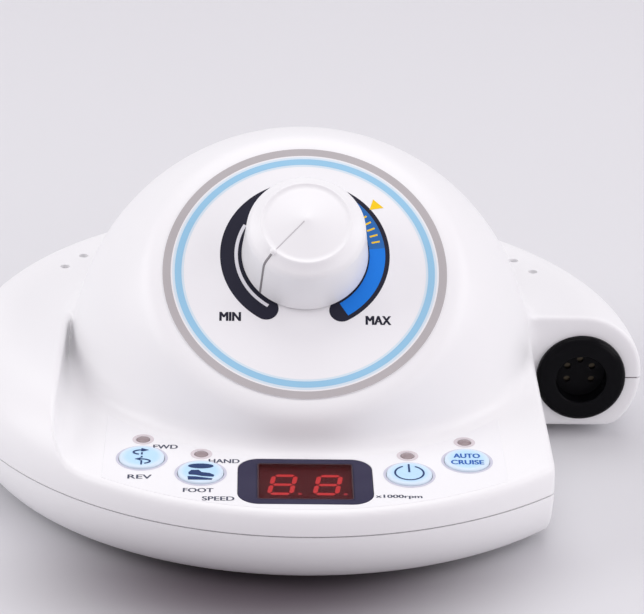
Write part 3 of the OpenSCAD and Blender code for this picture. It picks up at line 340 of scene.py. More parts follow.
def upper_shell(x, y, z):
    """Distance from the upper case's wall, with its holes."""
    skin = upper_skin(x, y, z)
    holes = connector_holes(x, y, z)
    for key_x, key_y in KEYS.values():
        holes = np.minimum(holes, np.hypot(x - key_x, y - key_y) - KEY_HOLE_R)
        holes = np.minimum(holes, np.hypot(x - key_x, y - key_y - LAMP_BACK) - LAMP_HOLE_R)
    window = round_corner(np.abs(x) - WINDOW_HOLE[0] + WINDOW_HOLE_R,
                          np.abs(y - WINDOW_Y) - WINDOW_HOLE[1] + WINDOW_HOLE_R, WINDOW_HOLE_R)
    holes = np.minimum(holes, window)
    return np.maximum(np.maximum(skin, -(skin + WALL)), -holes)


def ruled(low, high, bands):
    """Grid lines from low to high, set closer inside the bands."""
    lines = [low]
    while lines[-1] < high:
        fine = any(start <= lines[-1] < end for start, end in bands)
        lines.append(lines[-1] + (NET_FINE if fine else NET_STEP))
    return np.array(lines)


def net_of(form, axes):
    """Corners and four-sided faces of the surface where form is 0, found on a grid and slid onto it."""
    shape = [len(lines) for lines in axes]
    value = form(*np.meshgrid(*axes, indexing="ij"))
    cells = [n - 1 for n in shape]
    total = np.zeros((cells[0] * cells[1] * cells[2], 3))
    count = np.zeros(len(total))
    faces = []
    for along, across, over in ((0, 1, 2), (1, 2, 0), (2, 0, 1)):
        first = np.take(value, range(shape[along] - 1), axis=along)
        last = np.take(value, range(1, shape[along]), axis=along)
        edge = np.argwhere((first < 0) != (last < 0))
        clear = (edge[:, across] > 0) & (edge[:, across] < shape[across] - 1)
        edge = edge[clear & (edge[:, over] > 0) & (edge[:, over] < shape[over] - 1)]
        start = first[tuple(edge.T)]
        point = np.stack([lines[k] for lines, k in zip(axes, edge.T)], axis=1)
        gap = axes[along][edge[:, along] + 1] - point[:, along]
        point[:, along] += gap * start / (start - last[tuple(edge.T)])
        ring = []
        for back, under in ((-1, -1), (0, -1), (0, 0), (-1, 0)):
            cell = edge.copy()
            cell[:, across] += back
            cell[:, over] += under
            ring.append(np.ravel_multi_index(cell.T, cells))
        ring = np.stack(ring, axis=1)
        ring[start > 0] = ring[start > 0][:, ::-1]
        faces.append(ring)
        for corner in ring.T:
            np.add.at(total, corner, point)
            np.add.at(count, corner, 1)
    faces = np.concatenate(faces)
    used = np.flatnonzero(count)
    place = np.zeros(len(count), int)
    place[used] = np.arange(len(used))
    corners = total[used] / count[used][:, None]
    faces = place[faces]
    for _ in range(EVEN_ROUNDS):
        corners = settle(form, even_out(corners, faces), NET_STEP / 2)
    return settle(form, corners, NET_STEP / 2), faces


def even_out(corners, faces):
    """Moves each corner half way to the mean of its neighbours."""
    total = np.zeros_like(corners)
    count = np.zeros(len(corners))
    for side in range(4):
        a, b = faces[:, side], faces[:, (side + 1) % 4]
        np.add.at(total, a, corners[b])
        np.add.at(total, b, corners[a])
        np.add.at(count, a, 1)
        np.add.at(count, b, 1)
    return (corners + total / count[:, None]) / 2


def settle(form, corners, reach):
    """Slides corners along the distance's slope onto the surface, by no more than reach each time."""
    for _ in range(SETTLE_ROUNDS):
        value = form(*corners.T)
        slope = np.zeros_like(corners)
        for axis in range(3):
            shift = np.zeros(3)
            shift[axis] = PROBE
            slope[:, axis] = (form(*(corners + shift).T) - form(*(corners - shift).T)) / (2 * PROBE)
        length = np.maximum((slope ** 2).sum(axis=1), LEAST_SLOPE)
        corners = corners - slope * np.clip(value / length, -reach, reach)[:, None]
    return corners


def new_piece(name, mesh, material, body, slot, *nodes):
    """Object for a finished mesh that rides on a body, takes the material and stands for CAD nodes; the slot
    is not used.
    """
    piece = held(name, mesh)
    if not mesh.materials:
        mesh.materials.append(material)
    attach(piece, body)
    if nodes:
        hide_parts(*nodes)
    return piece


def mesh_of(name, corners, faces):
    """Mesh from corners in millimetres."""
    mesh = bpy.data.meshes.new(name)
    mesh.from_pydata([tuple(c) for c in np.asarray(corners) * MM], [], [tuple(f) for f in faces])
    mesh.validate()
    return mesh


@contextmanager
def bench(mesh):
    """Opens a mesh for work on its corners, edges and faces, and writes it back."""
    bm = bmesh.new()
    bm.from_mesh(mesh)
    yield bm
    bm.to_mesh(mesh)
    bm.free()


def smoothed(mesh, crease):
    """Smooth shading, with edges sharper than the crease kept."""
    mesh.shade_smooth()
    mesh.set_sharp_from_angle(angle=crease)
    return mesh


def trimmed(mesh, height, keep_above):
    """Cuts a shell level at a height in millimetres and closes the cut between its two walls."""
    with bench(mesh) as bm:
        bmesh.ops.bisect_plane(bm, geom=bm.verts[:] + bm.edges[:] + bm.faces[:], dist=1e-7,
                               plane_co=(0, 0, height * MM), plane_no=(0, 0, 1),
                               clear_inner=keep_above, clear_outer=not keep_above)
        rim = [e for e in bm.edges if e.is_boundary]
        bmesh.ops.triangle_fill(bm, edges=rim, use_beauty=False, use_dissolve=False)
        bmesh.ops.recalc_face_normals(bm, faces=bm.faces)
    return mesh


def baked(holder):
    """Plain mesh of an object's finished shape; the object is removed."""
    bpy.context.view_layer.update()
    mesh = bpy.data.meshes.new_from_object(holder.evaluated_get(bpy.context.evaluated_depsgraph_get()))
    bpy.data.objects.remove(holder)
    return mesh


def pierced(mesh, cutter_mesh):
    """Mesh with the cutter's volume taken out of it."""
    body = held("uncut", mesh)
    cutter = held("cutter", cutter_mesh)
    cut = body.modifiers.new("cut", "BOOLEAN")
    cut.operation = "DIFFERENCE"
    cut.solver = "EXACT"
    cut.object = cutter
    result = baked(body)
    bpy.data.objects.remove(cutter)
    return result


def pegs(places, radius, low, high, sides=48):
    """Upright cylinders, as one mesh, for piercing holes."""
    mesh = bpy.data.meshes.new("pegs")
    with bench(mesh) as bm:
        for x, y in places:
            spot = Matrix.Translation(Vector((x, y, (low + high) / 2)) * MM)
            bmesh.ops.create_cone(bm, cap_ends=True, segments=sides, radius1=radius * MM,
                                  radius2=radius * MM, depth=(high - low) * MM, matrix=spot)
    return mesh


def new_group(name, kind, outputs, inputs):
    """Node group with outputs by name and type, and inputs by name, type and first value."""
    tree = bpy.data.node_groups.new(name, kind)
    for socket, form in outputs.items():
        tree.interface.new_socket(socket, in_out="OUTPUT", socket_type=f"NodeSocket{form}")
    for socket, (form, value) in inputs.items():
        given = tree.interface.new_socket(socket, in_out="INPUT", socket_type=f"NodeSocket{form}")
        if value is not None:
            given.default_value = value
    return tree, tree.nodes.new("NodeGroupInput").outputs, tree.nodes.new("NodeGroupOutput")


def moulded_skin():
    """Shader group for moulded plastic: a slow drift of tone, a changing gloss and a fine orange peel."""
    tree, given, out = new_group(
        "moulded_skin", "ShaderNodeTree", {"Drift": "Float", "Roughness": "Float", "Normal": "Vector"},
        {"Drift Scale": ("Float", 14.0), "Peel Scale": ("Float", 900.0), "Peel Depth": ("Float", 0.02),
         "Gloss Low": ("Float", 0.2), "Gloss High": ("Float", 0.3)})
    spot = object_spot(tree)
    drift = noise(tree, spot, given["Drift Scale"], detail=3)
    peel = noise(tree, spot, given["Peel Scale"])
    gloss = ramped(tree, drift, {"To Min": given["Gloss Low"], "To Max": given["Gloss High"]})
    relief = {"Height": peel, "Strength": given["Peel Depth"], "Distance": 0.0002}
    bump = wired(tree, "ShaderNodeBump", relief)
    fed(tree, out, {"Drift": drift, "Roughness": gloss, "Normal": bump.outputs["Normal"]})
    return tree


MOULDED_SKIN = moulded_skin()


def plastic(name, colour, second, gloss=(0.2, 0.3), drift=14.0, peel=900.0, depth=0.02, **shader_values):
    """Material of moulded plastic, rubber or ink that drifts between two close colours."""
    material, tree, shader = new_material(name)
    values = {"Drift Scale": drift, "Peel Scale": peel, "Peel Depth": depth, "Gloss Low": gloss[0],
              "Gloss High": gloss[1]}
    made = wired(tree, "ShaderNodeGroup", values, node_tree=MOULDED_SKIN).outputs
    fed(tree, shader, {"Base Color": mixed(tree, made["Drift"], colour, second),
                       "Roughness": made["Roughness"], "Normal": made["Normal"]})
    fed(tree, shader, {socket.replace("_", " "): value for socket, value in shader_values.items()})
    return material


def on_arc(radius, turn, at=(0, 0)):
    """Point at a radius and an angle in degrees."""
    return at[0] + radius * math.cos(math.radians(turn)), at[1] + radius * math.sin(math.radians(turn))


CASE_WHITE = plastic("case_white", (0.86, 0.86, 0.87), (0.89, 0.89, 0.895), gloss=(0.32, 0.42))

rest_holes = [(side * x, y) for side in (-1, 1) for x, y in (on_arc(REST_RING_R, t) for t in REST_TURNS)]
across_lines = ruled(-CASE_R - NET_MARGIN, CASE_R + NET_MARGIN, FINE_ACROSS)
along_lines = ruled(-CASE_R - NET_MARGIN, REAR_Y + NET_MARGIN, FINE_ALONG)
upper_lines = ruled(PART_Z - NET_MARGIN, DOME_Z + DOME_R + NET_MARGIN, FINE_UP)
upper = mesh_of("upper_shell", *net_of(upper_shell, (across_lines, along_lines, upper_lines)))
upper = trimmed(upper, PART_Z, keep_above=True)
upper = pierced(upper, pegs(rest_holes, REST_HOLE_R, WING_Z - REST_HOLE_D, WING_Z + REST_PEG_UP))
new_piece("upper_shell", smoothed(upper, SHELL_CREASE), CASE_WHITE, "unit", "case_white",
          "upper_case", "side_wing", "dome_cover", "key_panel")

# Lower shell: the same white plastic, with a round belly and deep screw wells under its flat base.
# A lip stands inside its rim, coloured dark as painted shade, and shows as the line between the halves.
BELLY_R = 22
BASE_Z = 3
BASE_EDGE = 2.0
SCREW_WELL_R = 3.2
SCREW_SEAT_Z = 9
SCREW_COLUMN_R = 5
SCREW_TURNS = ((73.5, -30), (73.5, 210), (84.2, 60), (84.2, 120))
SEAM_H = 0.4
SEAM_D = 1.2
LIP_T = 1.2
LIP_LOW = 1
LIP_HIGH = 0.4
NOTCH_LIP = 0.25
HOLE_CLEAR = 1
ROUND_STEPS = 240
NOTCH_STEPS = 24


def notch_depth(x, y):
    """Distance from the front right notch, negative inside it."""
    return np.maximum(TONGUE_X - x, y - SOCKET_Y)


def lower_skin(x, y, z):
    """Distance from the outside of the lower case."""
    belly = round_corner(np.hypot(x, y) - CASE_R + BELLY_R, PART_Z - z, BELLY_R)
    form = smooth_max(belly, BASE_Z - z, BASE_EDGE)
    form = smooth_max(form, -notch_depth(x, y), MOULD_EDGE)
    return smooth_max(form, y - REAR_Y, MOULD_EDGE)


def lower_shell(x, y, z):
    """Distance from the lower case's wall with its screw columns and wells."""
    skin = lower_skin(x, y, z)
    shell = np.maximum(skin, -(skin + WALL))
    wells = connector_holes(x, y, z)
    for ring_r, screw_turn in SCREW_TURNS:
        well_x, well_y = on_arc(ring_r, screw_turn)
        away = np.hypot(x - well_x, y - well_y)
        shell = np.minimum(shell, np.maximum(away - SCREW_COLUMN_R, skin))
        wells = np.minimum(wells, np.maximum(away - SCREW_WELL_R, z - SCREW_SEAT_Z))
    return np.maximum(shell, -wells)


lower_lines = ruled(0, PART_Z + NET_MARGIN, [])
lower = mesh_of("lower_shell", *net_of(lower_shell, (across_lines, along_lines, lower_lines)))
lower = trimmed(lower, PART_Z - SEAM_H, keep_above=False)
new_piece("lower_shell", smoothed(lower, SHELL_CREASE), CASE_WHITE, "unit", "case_white", "lower_case")


def case_outline(inset):
    """Plan of the case shrunk by inset, less so at the notch: its round, the flat rear and the notch."""
    r = CASE_R - inset
    notch_x, notch_y = TONGUE_X - inset, SOCKET_Y + inset * NOTCH_LIP
    start = math.asin(notch_y / r)
    end = 2 * math.pi - math.acos(notch_x / r)
    turns = np.linspace(start, end, ROUND_STEPS)
    points = [(r * math.cos(t), min(r * math.sin(t), REAR_Y - inset)) for t in turns]
    wall = np.linspace(notch_x, r * math.cos(start), NOTCH_STEPS, endpoint=False)
    return points + [(x, notch_y) for x in wall]


def upright_band(name, outer, inner, low, high):
    """Band between two plans with as many points each, left open where a connector passes."""
    n = len(outer)
    corners = [(x, y, z) for plan in (outer, inner) for z in (low, high) for x, y in plan]
    faces = []
    for k in range(n):
        j = (k + 1) % n
        if min(connector_holes(*outer[k], low), connector_holes(*outer[j], low)) < HOLE_CLEAR:
            continue
        faces += [(k, j, n + j, n + k), (2 * n + j, 2 * n + k, 3 * n + k, 3 * n + j),
                  (n + k, n + j, 3 * n + j, 3 * n + k), (j, k, 2 * n + k, 2 * n + j)]
    return mesh_of(name, corners, faces)


# The lip's dark colour is painted shade for the gap between the halves.
SEAM_SHADE_PAINT = plastic("seam_painted_shade", (0.16, 0.135, 0.14), (0.20, 0.17, 0.175), gloss=(0.5, 0.65))
lip = upright_band("seam_lip", case_outline(SEAM_D), case_outline(SEAM_D + LIP_T),
                   PART_Z - SEAM_H - LIP_LOW, PART_Z + LIP_HIGH)
new_piece("seam_lip", lip, SEAM_SHADE_PAINT, "unit", "case_white")

# Speed dial's face: a thin printed polyester disc stuck on the slanted face of the dome.
# Its print is a grey ring, a pale blue ring and the speed scale from MIN to MAX.
KNOB_UP = 5.4
SHEET_T = 0.3
SHEET_EDGE = 0.22
PRINT_LIFT = 0.03
RING_GREY = (39.1, 41.45)
RING_BLUE = (35.95, 37.9)
RING_HALO = (35.3, 38.6)
SCALE_R = (17.6, 24.8)
SCALE_TURNS = (300, 598)
SCALE_LINE = (19.6, 20.6, 151, 238)
ZONE_R = (18.9, 23.5)
ZONE_TURNS = (-58, 6, 55)
MARK = [(20.16, 24.34), (19.08, 20.74), (23.23, 21.48)]
DIAL_WORDS = (("MIN", (-21.6, -15.25), 5.9), ("MAX", (21.2, -16.05), 7.1))
DIAL_WORD_H = 2.9
DIAL_WORD_BOLD = 0.18
TICKS = 7
TICK_R = 21.2
TICK_START = math.radians(12)
TICK_STEP = math.radians(6)
TICK_SIZE = (2.4, 0.55)
LEAST_MITRE = 0.4
EASE_FROM = math.radians(40)
EASE_CREASE = math.radians(35)


def shifted(x, y, z=0):
    """Shift in millimetres."""
    return Matrix.Translation(Vector((x, y, z)))


face_place = shifted(0, 0, DOME_Z) @ Matrix.Rotation(FACE_TILT, 4, "X") @ shifted(0, 0, FACE_D)


def arc_points(at, radius, start, end, steps):
    """Points of an arc about a centre, between two angles in degrees."""
    return [on_arc(radius, turn, at) for turn in np.linspace(start, end, steps + 1)]


def arc_band(r_in, r_out, start, end, at=(0, 0), steps=96):
    """Flat ring or part of one, between two radii and two angles in degrees."""
    sides = [arc_points(at, r, start, end, steps) for r in (r_in, r_out)]
    points = [point for pair in zip(*sides) for point in pair]
    return points, strip(steps)


def ring(radii):
    """Flat whole ring on the dial."""
    return [arc_band(*radii, 0, 360, steps=160)]


def plate(points):
    """One flat face."""
    return list(points), [tuple(range(len(points)))]


def round_end(at, radius, steps=32):
    """Flat disc."""
    return plate(arc_points(at, radius, 0, 360, steps)[:-1])


def lettering(text, at, width, height, spread):
    """Flat letters of a plain sans type, fitted to a box about a middle point, thrice for weight."""
    curve = bpy.data.curves.new("letters", "FONT")
    curve.body = text
    curve.resolution_u = 4
    flat = baked(held("letters", curve))
    corners = np.array([v.co[:2] for v in flat.vertices])
    low, high = corners.min(axis=0), corners.max(axis=0)
    corners = (corners - (low + high) / 2) / (high - low) * (width, height) + at
    letters = [tuple(c) for c in corners], [tuple(f.vertices) for f in flat.polygons]
    return [moved(letters, (shift, 0)) for shift in (-spread, 0, spread)]


def moved(shape, at):
    """Flat shape shifted to a point."""
    points, faces = shape
    return [(x + at[0], y + at[1]) for x, y in points], faces


def worded(words, height, spread):
    """Flat letters of several words, each given with its middle point and width."""
    return [layer for word, at, width in words for layer in lettering(word, at, width, height, spread)]


def unit(ahead):
    """Directions made one long."""
    return ahead / np.linalg.norm(ahead, axis=-1, keepdims=True)


def leftward(ahead):
    """Directions turned a quarter to the left."""
    return np.stack([-ahead[..., 1], ahead[..., 0]], axis=-1)


def stroke(points, width):
    """Flat line of one width through points, with mitred corners."""
    points = np.array(points, float)
    ahead = unit(np.diff(points, axis=0))
    before = np.vstack([ahead[:1], ahead])
    after = np.vstack([ahead, ahead[-1:]])
    side = unit(leftward(before + after))
    mitre = np.clip((side * leftward(after)).sum(axis=1), LEAST_MITRE, 1)
    side *= (width / 2 / mitre)[:, None]
    edges = [tuple(p) for pair in zip(points - side, points + side) for p in pair]
    return edges, [(2 * k, 2 * k + 2, 2 * k + 3, 2 * k + 1) for k in range(len(points) - 1)]


def facing(mesh, outward):
    """Turns every face of a flat mesh to one side."""
    with bench(mesh) as bm:
        bm.normal_update()
        bmesh.ops.reverse_faces(bm, faces=[f for f in bm.faces if f.normal.dot(outward) < 0])
    return mesh


def printed(name, shapes, place, lift, ink, body, slot):
    """Ink on a sheet: flat shapes at a height over the place's plane, facing outwards."""
    corners, faces = [], []
    for layer, (points, sides) in enumerate(shapes):
        faces += [tuple(k + len(corners) for k in side) for side in sides]
        height = lift + layer % 3 * PRINT_LIFT / 3
        corners += [tuple(place @ Vector((x, y, height))) for x, y in points]
    outward = (place.to_3x3() @ Vector((0, 0, 1))).normalized()
    return new_piece(name, facing(mesh_of(name, corners, faces), outward), ink, body, slot)


def ink(name, colour, second):
    """Screen ink with a faint mottle."""
    return plastic(name, colour, second, gloss=(0.45, 0.6), drift=60.0, peel=2500.0, depth=0.03,
                   Specular_IOR_Level=0.1)


SHEET_WHITE = plastic("sheet_white", (0.85, 0.85, 0.865), (0.88, 0.88, 0.89), gloss=(0.34, 0.42),
                      peel=2200.0, depth=0.03)
INK_GREY = ink("ink_grey", (0.45, 0.425, 0.43), (0.50, 0.475, 0.48))
INK_RING = ink("ink_ring", (0.30, 0.56, 0.76), (0.34, 0.60, 0.80))
INK_HALO = ink("ink_halo", (0.66, 0.77, 0.85), (0.69, 0.80, 0.87))
INK_NAVY = ink("ink_navy", (0.018, 0.018, 0.032), (0.026, 0.026, 0.042))
INK_BLUE = ink("ink_blue", (0.013, 0.19, 0.72), (0.018, 0.22, 0.78))
INK_SKY = ink("ink_sky", (0.025, 0.135, 0.40), (0.035, 0.16, 0.46))
INK_YELLOW = ink("ink_yellow", (0.90, 0.58, 0.015), (0.94, 0.63, 0.02))
INK_PALE = ink("ink_pale", (0.72, 0.72, 0.76), (0.76, 0.76, 0.80))


def eased(node, width, material, slot):
    """Copy of a CAD node with its doubles merged and its edges rounded, which stands for the node."""
    source = frame["nodes"][node]
    mesh = source.data.copy()
    mesh.materials.clear()
    with bench(mesh) as bm:
        bmesh.ops.remove_doubles(bm, verts=bm.verts, dist=1e-6)
        bmesh.ops.dissolve_limit(bm, angle_limit=math.radians(1), verts=bm.verts, edges=bm.edges)
    mesh.name = f"{node}_eased"
    piece = new_piece(f"{node}_eased", mesh, material, source["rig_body"], slot, node)
    bevel = piece.modifiers.new("eased_edges", "BEVEL")
    bevel.width = width * MM
    bevel.segments = 2
    bevel.limit_method = "ANGLE"
    bevel.angle_limit = EASE_FROM
    smoothed(mesh, EASE_CREASE)


eased("dial_sheet", SHEET_EDGE, SHEET_WHITE, "printed_sheet")
knob_at = (0, KNOB_UP)
scale_mid = sum(SCALE_R) / 2
scale_half = (SCALE_R[1] - SCALE_R[0]) / 2
scale = [arc_band(*SCALE_R, *SCALE_TURNS, knob_at, steps=128)]
scale += [round_end(on_arc(scale_mid, end, knob_at), scale_half) for end in SCALE_TURNS]
fast, high = [[arc_band(*ZONE_R, *turns, knob_at)] for turns in zip(ZONE_TURNS, ZONE_TURNS[1:])]
sheet_print = SHEET_T + PRINT_LIFT
for name, shapes, height, colour in (
        ("dial_halo", ring(RING_HALO), sheet_print, INK_HALO),
        ("dial_grey_ring", ring(RING_GREY), sheet_print, INK_GREY),
        ("dial_blue_ring", ring(RING_BLUE), sheet_print + PRINT_LIFT, INK_RING),
        ("dial_scale", scale, sheet_print, INK_NAVY),
        ("dial_scale_line", [arc_band(*SCALE_LINE, knob_at)], sheet_print + PRINT_LIFT, INK_PALE),
        ("dial_fast_zone", fast, sheet_print + PRINT_LIFT, INK_BLUE),
        ("dial_high_zone", high, sheet_print + PRINT_LIFT, INK_SKY),
        ("dial_mark", [plate(MARK)], sheet_print + PRINT_LIFT, INK_YELLOW),
        ("dial_words", worded(DIAL_WORDS, DIAL_WORD_H, DIAL_WORD_BOLD), sheet_print, INK_NAVY)):
    printed(name, shapes, face_place, height, colour, "unit", "printed_sheet")


def painted_copies(tree, given, out, copies):
    """Ends a tree: makes its copies real and gives them their material."""
    real = wired(tree, "GeometryNodeRealizeInstances", {"Geometry": copies.outputs["Instances"]})
    paint = wired(tree, "GeometryNodeSetMaterial", {"Geometry": real.outputs["Geometry"],
                                                    "Material": given["Material"]})
    fed(tree, out, {"Geometry": paint.outputs["Geometry"]})
    return tree


def tick_row_tree():
    """Geometry nodes that lay small flat ticks along an arc, turned to face its centre."""
    tree, given, out = new_group(
        "tick_row", "GeometryNodeTree", {"Geometry": "Geometry"},
        {"Count": ("Int", 8), "Radius": ("Float", 0.02), "Start": ("Float", 0.0), "Step": ("Float", 0.1),
         "Length": ("Float", 0.003), "Width": ("Float", 0.001), "Material": ("Material", None)})
    index = wired(tree, "GeometryNodeInputIndex", {}).outputs["Index"]
    angle = summed(tree, "MULTIPLY_ADD", index, given["Step"], given["Start"])
    reach = wired(tree, "ShaderNodeCombineXYZ", {"X": given["Radius"]}).outputs["Vector"]
    spot = wired(tree, "ShaderNodeVectorRotate", {"Vector": reach, "Angle": angle}, rotation_type="Z_AXIS")
    points = wired(tree, "GeometryNodePoints", {"Count": given["Count"], "Position": spot.outputs["Vector"]})
    tick = wired(tree, "GeometryNodeMeshGrid", {"Size X": given["Length"], "Size Y": given["Width"],
                                                "Vertices X": 3, "Vertices Y": 2})
    heading = wired(tree, "ShaderNodeCombineXYZ", {"Z": angle}).outputs["Vector"]
    copies = wired(tree, "GeometryNodeInstanceOnPoints", {
        "Points": points.outputs[0], "Instance": tick.outputs["Mesh"], "Rotation": heading})
    return painted_copies(tree, given, out, copies)


def grown(tree, values, seed_mesh=None):
    """Plain mesh that a geometry nodes tree makes from its named inputs."""
    holder = held("grown", seed_mesh or bpy.data.meshes.new("grown"))
    growth = holder.modifiers.new("growth", "NODES")
    growth.node_group = tree
    for item in tree.interface.items_tree:
        if item.item_type == "SOCKET" and item.in_out == "INPUT" and item.name in values:
            growth[item.identifier] = values[item.name]
    return baked(holder)


def placed(mesh, place):
    """Moves a mesh made in metres to a place given in millimetres."""
    shift = place.copy()
    shift.translation *= MM
    mesh.transform(shift)
    return mesh


tick_values = {"Count": TICKS, "Radius": TICK_R * MM, "Start": TICK_START, "Step": TICK_STEP,
               "Length": TICK_SIZE[0] * MM, "Width": TICK_SIZE[1] * MM, "Material": INK_YELLOW}
ticks = grown(tick_row_tree(), tick_values)
ticks = placed(ticks, face_place @ shifted(*knob_at, sheet_print + 2 * PRINT_LIFT))
new_piece("dial_ticks", ticks, INK_YELLOW, "unit", "printed_sheet")

# Speed knob: one white moulding with a tapered skirt, a round shoulder and a thin lip round its top.
# A dark grey line let into it points at the speed, with a small bead on the lip; its part on the top is a
# paler grey, as painted light.
KNOB_R = 18.5
KNOB_LOW = 0.8
KNOB_DRAFT = 1.25
KNOB_SHOULDER_Z = 14.6
KNOB_SHOULDER_R = 3.4
KNOB_LIP = (13.0, 19.35)
LIP_ROUND = 0.6
KNOB_PEAK = 21.6
KNOB_SLOPE = 0.2
POINTER_TURN = 225
SKIRT_LINE = (0.85, 0.06)
CROWN_LINE = (0.4, 0.04)
LINE_ROOT = 0.1
LINE_TOP = 0.8
SKIRT_END = 0.5
CROWN_START = (0.9, 1)
BEAD_R = 0.95
BEAD_FOOT = (1.1, -0.2)
BEAD_AT = (0, -0.35)
BEAD_OUT = 0.35
TURNED_CREASE = math.radians(40)
knob_place = face_place @ shifted(*knob_at)


def turned(name, profile, sides=96):
    """Solid of revolution about Z from a profile of (radius, height), outwards on its right-hand side."""
    corners, faces = [], []
    turns = np.linspace(0, 2 * math.pi, sides, endpoint=False)
    rows = []
    for r, z in profile:
        if r < 1e-6:
            rows.append([len(corners)] * sides)
            corners.append((0, 0, z))
        else:
            rows.append(list(range(len(corners), len(corners) + sides)))
            corners += [(r * math.cos(t), r * math.sin(t), z) for t in turns]
    for low, high in zip(rows, rows[1:]):
        for k in range(sides):
            j = (k + 1) % sides
            ring = list(dict.fromkeys((low[k], low[j], high[j], high[k])))
            if len(ring) > 2:
                faces.append(ring)
    return smoothed(mesh_of(name, corners, faces), TURNED_CREASE)


shoulder_at = (KNOB_R - KNOB_DRAFT - KNOB_SHOULDER_R, KNOB_SHOULDER_Z)
lip_r, lip_z = KNOB_LIP
knob_profile = [(KNOB_R - 2.4, KNOB_LOW + 2), (KNOB_R - 2.2, KNOB_LOW), (KNOB_R - 0.25, KNOB_LOW),
                (KNOB_R, KNOB_LOW + 0.3)]
knob_profile += arc_points(shoulder_at, KNOB_SHOULDER_R, 4, 62, 12)
knob_profile += [(lip_r + 1.4, lip_z - 1.05), (lip_r + 0.8, lip_z - 0.5)]
knob_profile += arc_points((lip_r, lip_z - LIP_ROUND), LIP_ROUND, 50, 130, 8)
knob_profile += [(lip_r - 0.75, lip_z - 0.28), (lip_r - 1.2, lip_z - 0.36), (lip_r - 1.8, lip_z - 0.26)]
knob_profile += [(r, KNOB_PEAK - 0.15 - r * KNOB_SLOPE) for r in (8, 5, 2.5)]
knob_profile += [(1.0, KNOB_PEAK - 0.22), (0.4, KNOB_PEAK - 0.08), (0, KNOB_PEAK - 0.05)]
knob_mesh = placed(turned("speed_knob_skin", knob_profile, sides=144), knob_place)
new_piece("speed_knob_skin", knob_mesh, CASE_WHITE, "speed_dial_body", "case_white", "speed_knob")


def skin_line(name, profile, width, lift):
    """Thin raised line that follows the knob's profile down from its top, on the pointer's side."""
    heading = Vector((*on_arc(1, POINTER_TURN), 0))
    across = Vector((-heading.y, heading.x, 0))
    points = np.array(profile, float)
    out = -leftward(unit(np.gradient(points, axis=0)))
    corners, faces = [], []
    for (r, z), (nr, nz) in zip(points, out):
        for side, rise in ((-1, -LINE_ROOT), (-LINE_TOP, lift), (LINE_TOP, lift), (1, -LINE_ROOT)):
            spot = heading * (r + nr * rise) + across * side * width / 2
            corners.append((spot.x, spot.y, z + nz * rise))
    for k in range(len(points) - 1):
        for j in range(3):
            faces.append((4 * k + j, 4 * k + j + 1, 4 * k + j + 5, 4 * k + j + 4))
    mesh = mesh_of(name, corners, faces)
    mesh.shade_smooth()
    return placed(mesh, knob_place)


POINTER_GREY = plastic("pointer_grey", (0.24, 0.23, 0.24), (0.29, 0.28, 0.29), gloss=(0.35, 0.45))
# The line's part on the top is painted paler than on the skirt: painted light on the face turned up.
POINTER_PAINTED_LIT = plastic("pointer_painted_lit", (0.54, 0.52, 0.54), (0.60, 0.58, 0.60), gloss=(0.35, 0.45))
skirt_points = [(r, z) for r, z in knob_profile[3:-2] if r > lip_r + SKIRT_END]
crown_points = [(r, z) for r, z in knob_profile[3:-2]
                if r < lip_r + CROWN_START[0] and z > lip_z - CROWN_START[1]]
new_piece("knob_skirt_line", skin_line("knob_skirt_line", skirt_points, *SKIRT_LINE), POINTER_GREY,
          "speed_dial_body", "pointer_grey", "knob_pointer")
new_piece("knob_crown_line", skin_line("knob_crown_line", crown_points, *CROWN_LINE), POINTER_PAINTED_LIT,
          "speed_dial_body", "pointer_grey")
bead_profile = [BEAD_FOOT] + arc_points(BEAD_AT, BEAD_R, 10, 90, 8)
bead_place = knob_place @ shifted(*on_arc(lip_r + BEAD_OUT, POINTER_TURN), lip_z)
bead = placed(turned("knob_bead", bead_profile, sides=32), bead_place)
new_piece("knob_bead", bead, CASE_WHITE, "speed_dial_body", "case_white")

# Key panel's face: a printed polyester sheet cut out for the keys, lamps and window.
# Round pale rings are printed about each key and lamp, with plain words beside them.
KEY_RING = (6.6, 7.35)
LAMP_RING = (2.05, 3.1)
WORDS = (("FWD", (-39.6, -68.1), 6.9), ("REV", (-46.3, -85.8), 6.6), ("HAND", (-22.8, -76.3), 8.6),
         ("FOOT", (-29.8, -93.2), 8.3), ("SPEED", (-24.2, -97.8), 8.8), ("x1000rpm", (25.8, -96.0), 12.8))
WORD_H = 2.3
WORD_BOLD = 0.09
panel_place = shifted(0, 0, PANEL_Z) @ Matrix.Rotation(PANEL_TILT, 4, "X")
INK_SLATE = ink("ink_slate", (0.075, 0.08, 0.12), (0.09, 0.10, 0.14))
INK_LAVENDER = ink("ink_lavender", (0.60, 0.60, 0.70), (0.64, 0.64, 0.73))
INK_ROSE = ink("ink_rose", (0.66, 0.60, 0.63), (0.70, 0.64, 0.66))

eased("panel_sheet", SHEET_EDGE, SHEET_WHITE, "printed_sheet")
panel_words = worded(WORDS, WORD_H, WORD_BOLD)
key_rings = [arc_band(*KEY_RING, 0, 360, at) for at in KEYS.values()]
printed("panel_words", panel_words, panel_place, sheet_print, INK_SLATE, "unit", "printed_sheet")
printed("key_rings", key_rings, panel_place, sheet_print, INK_LAVENDER, "unit", "printed_sheet")


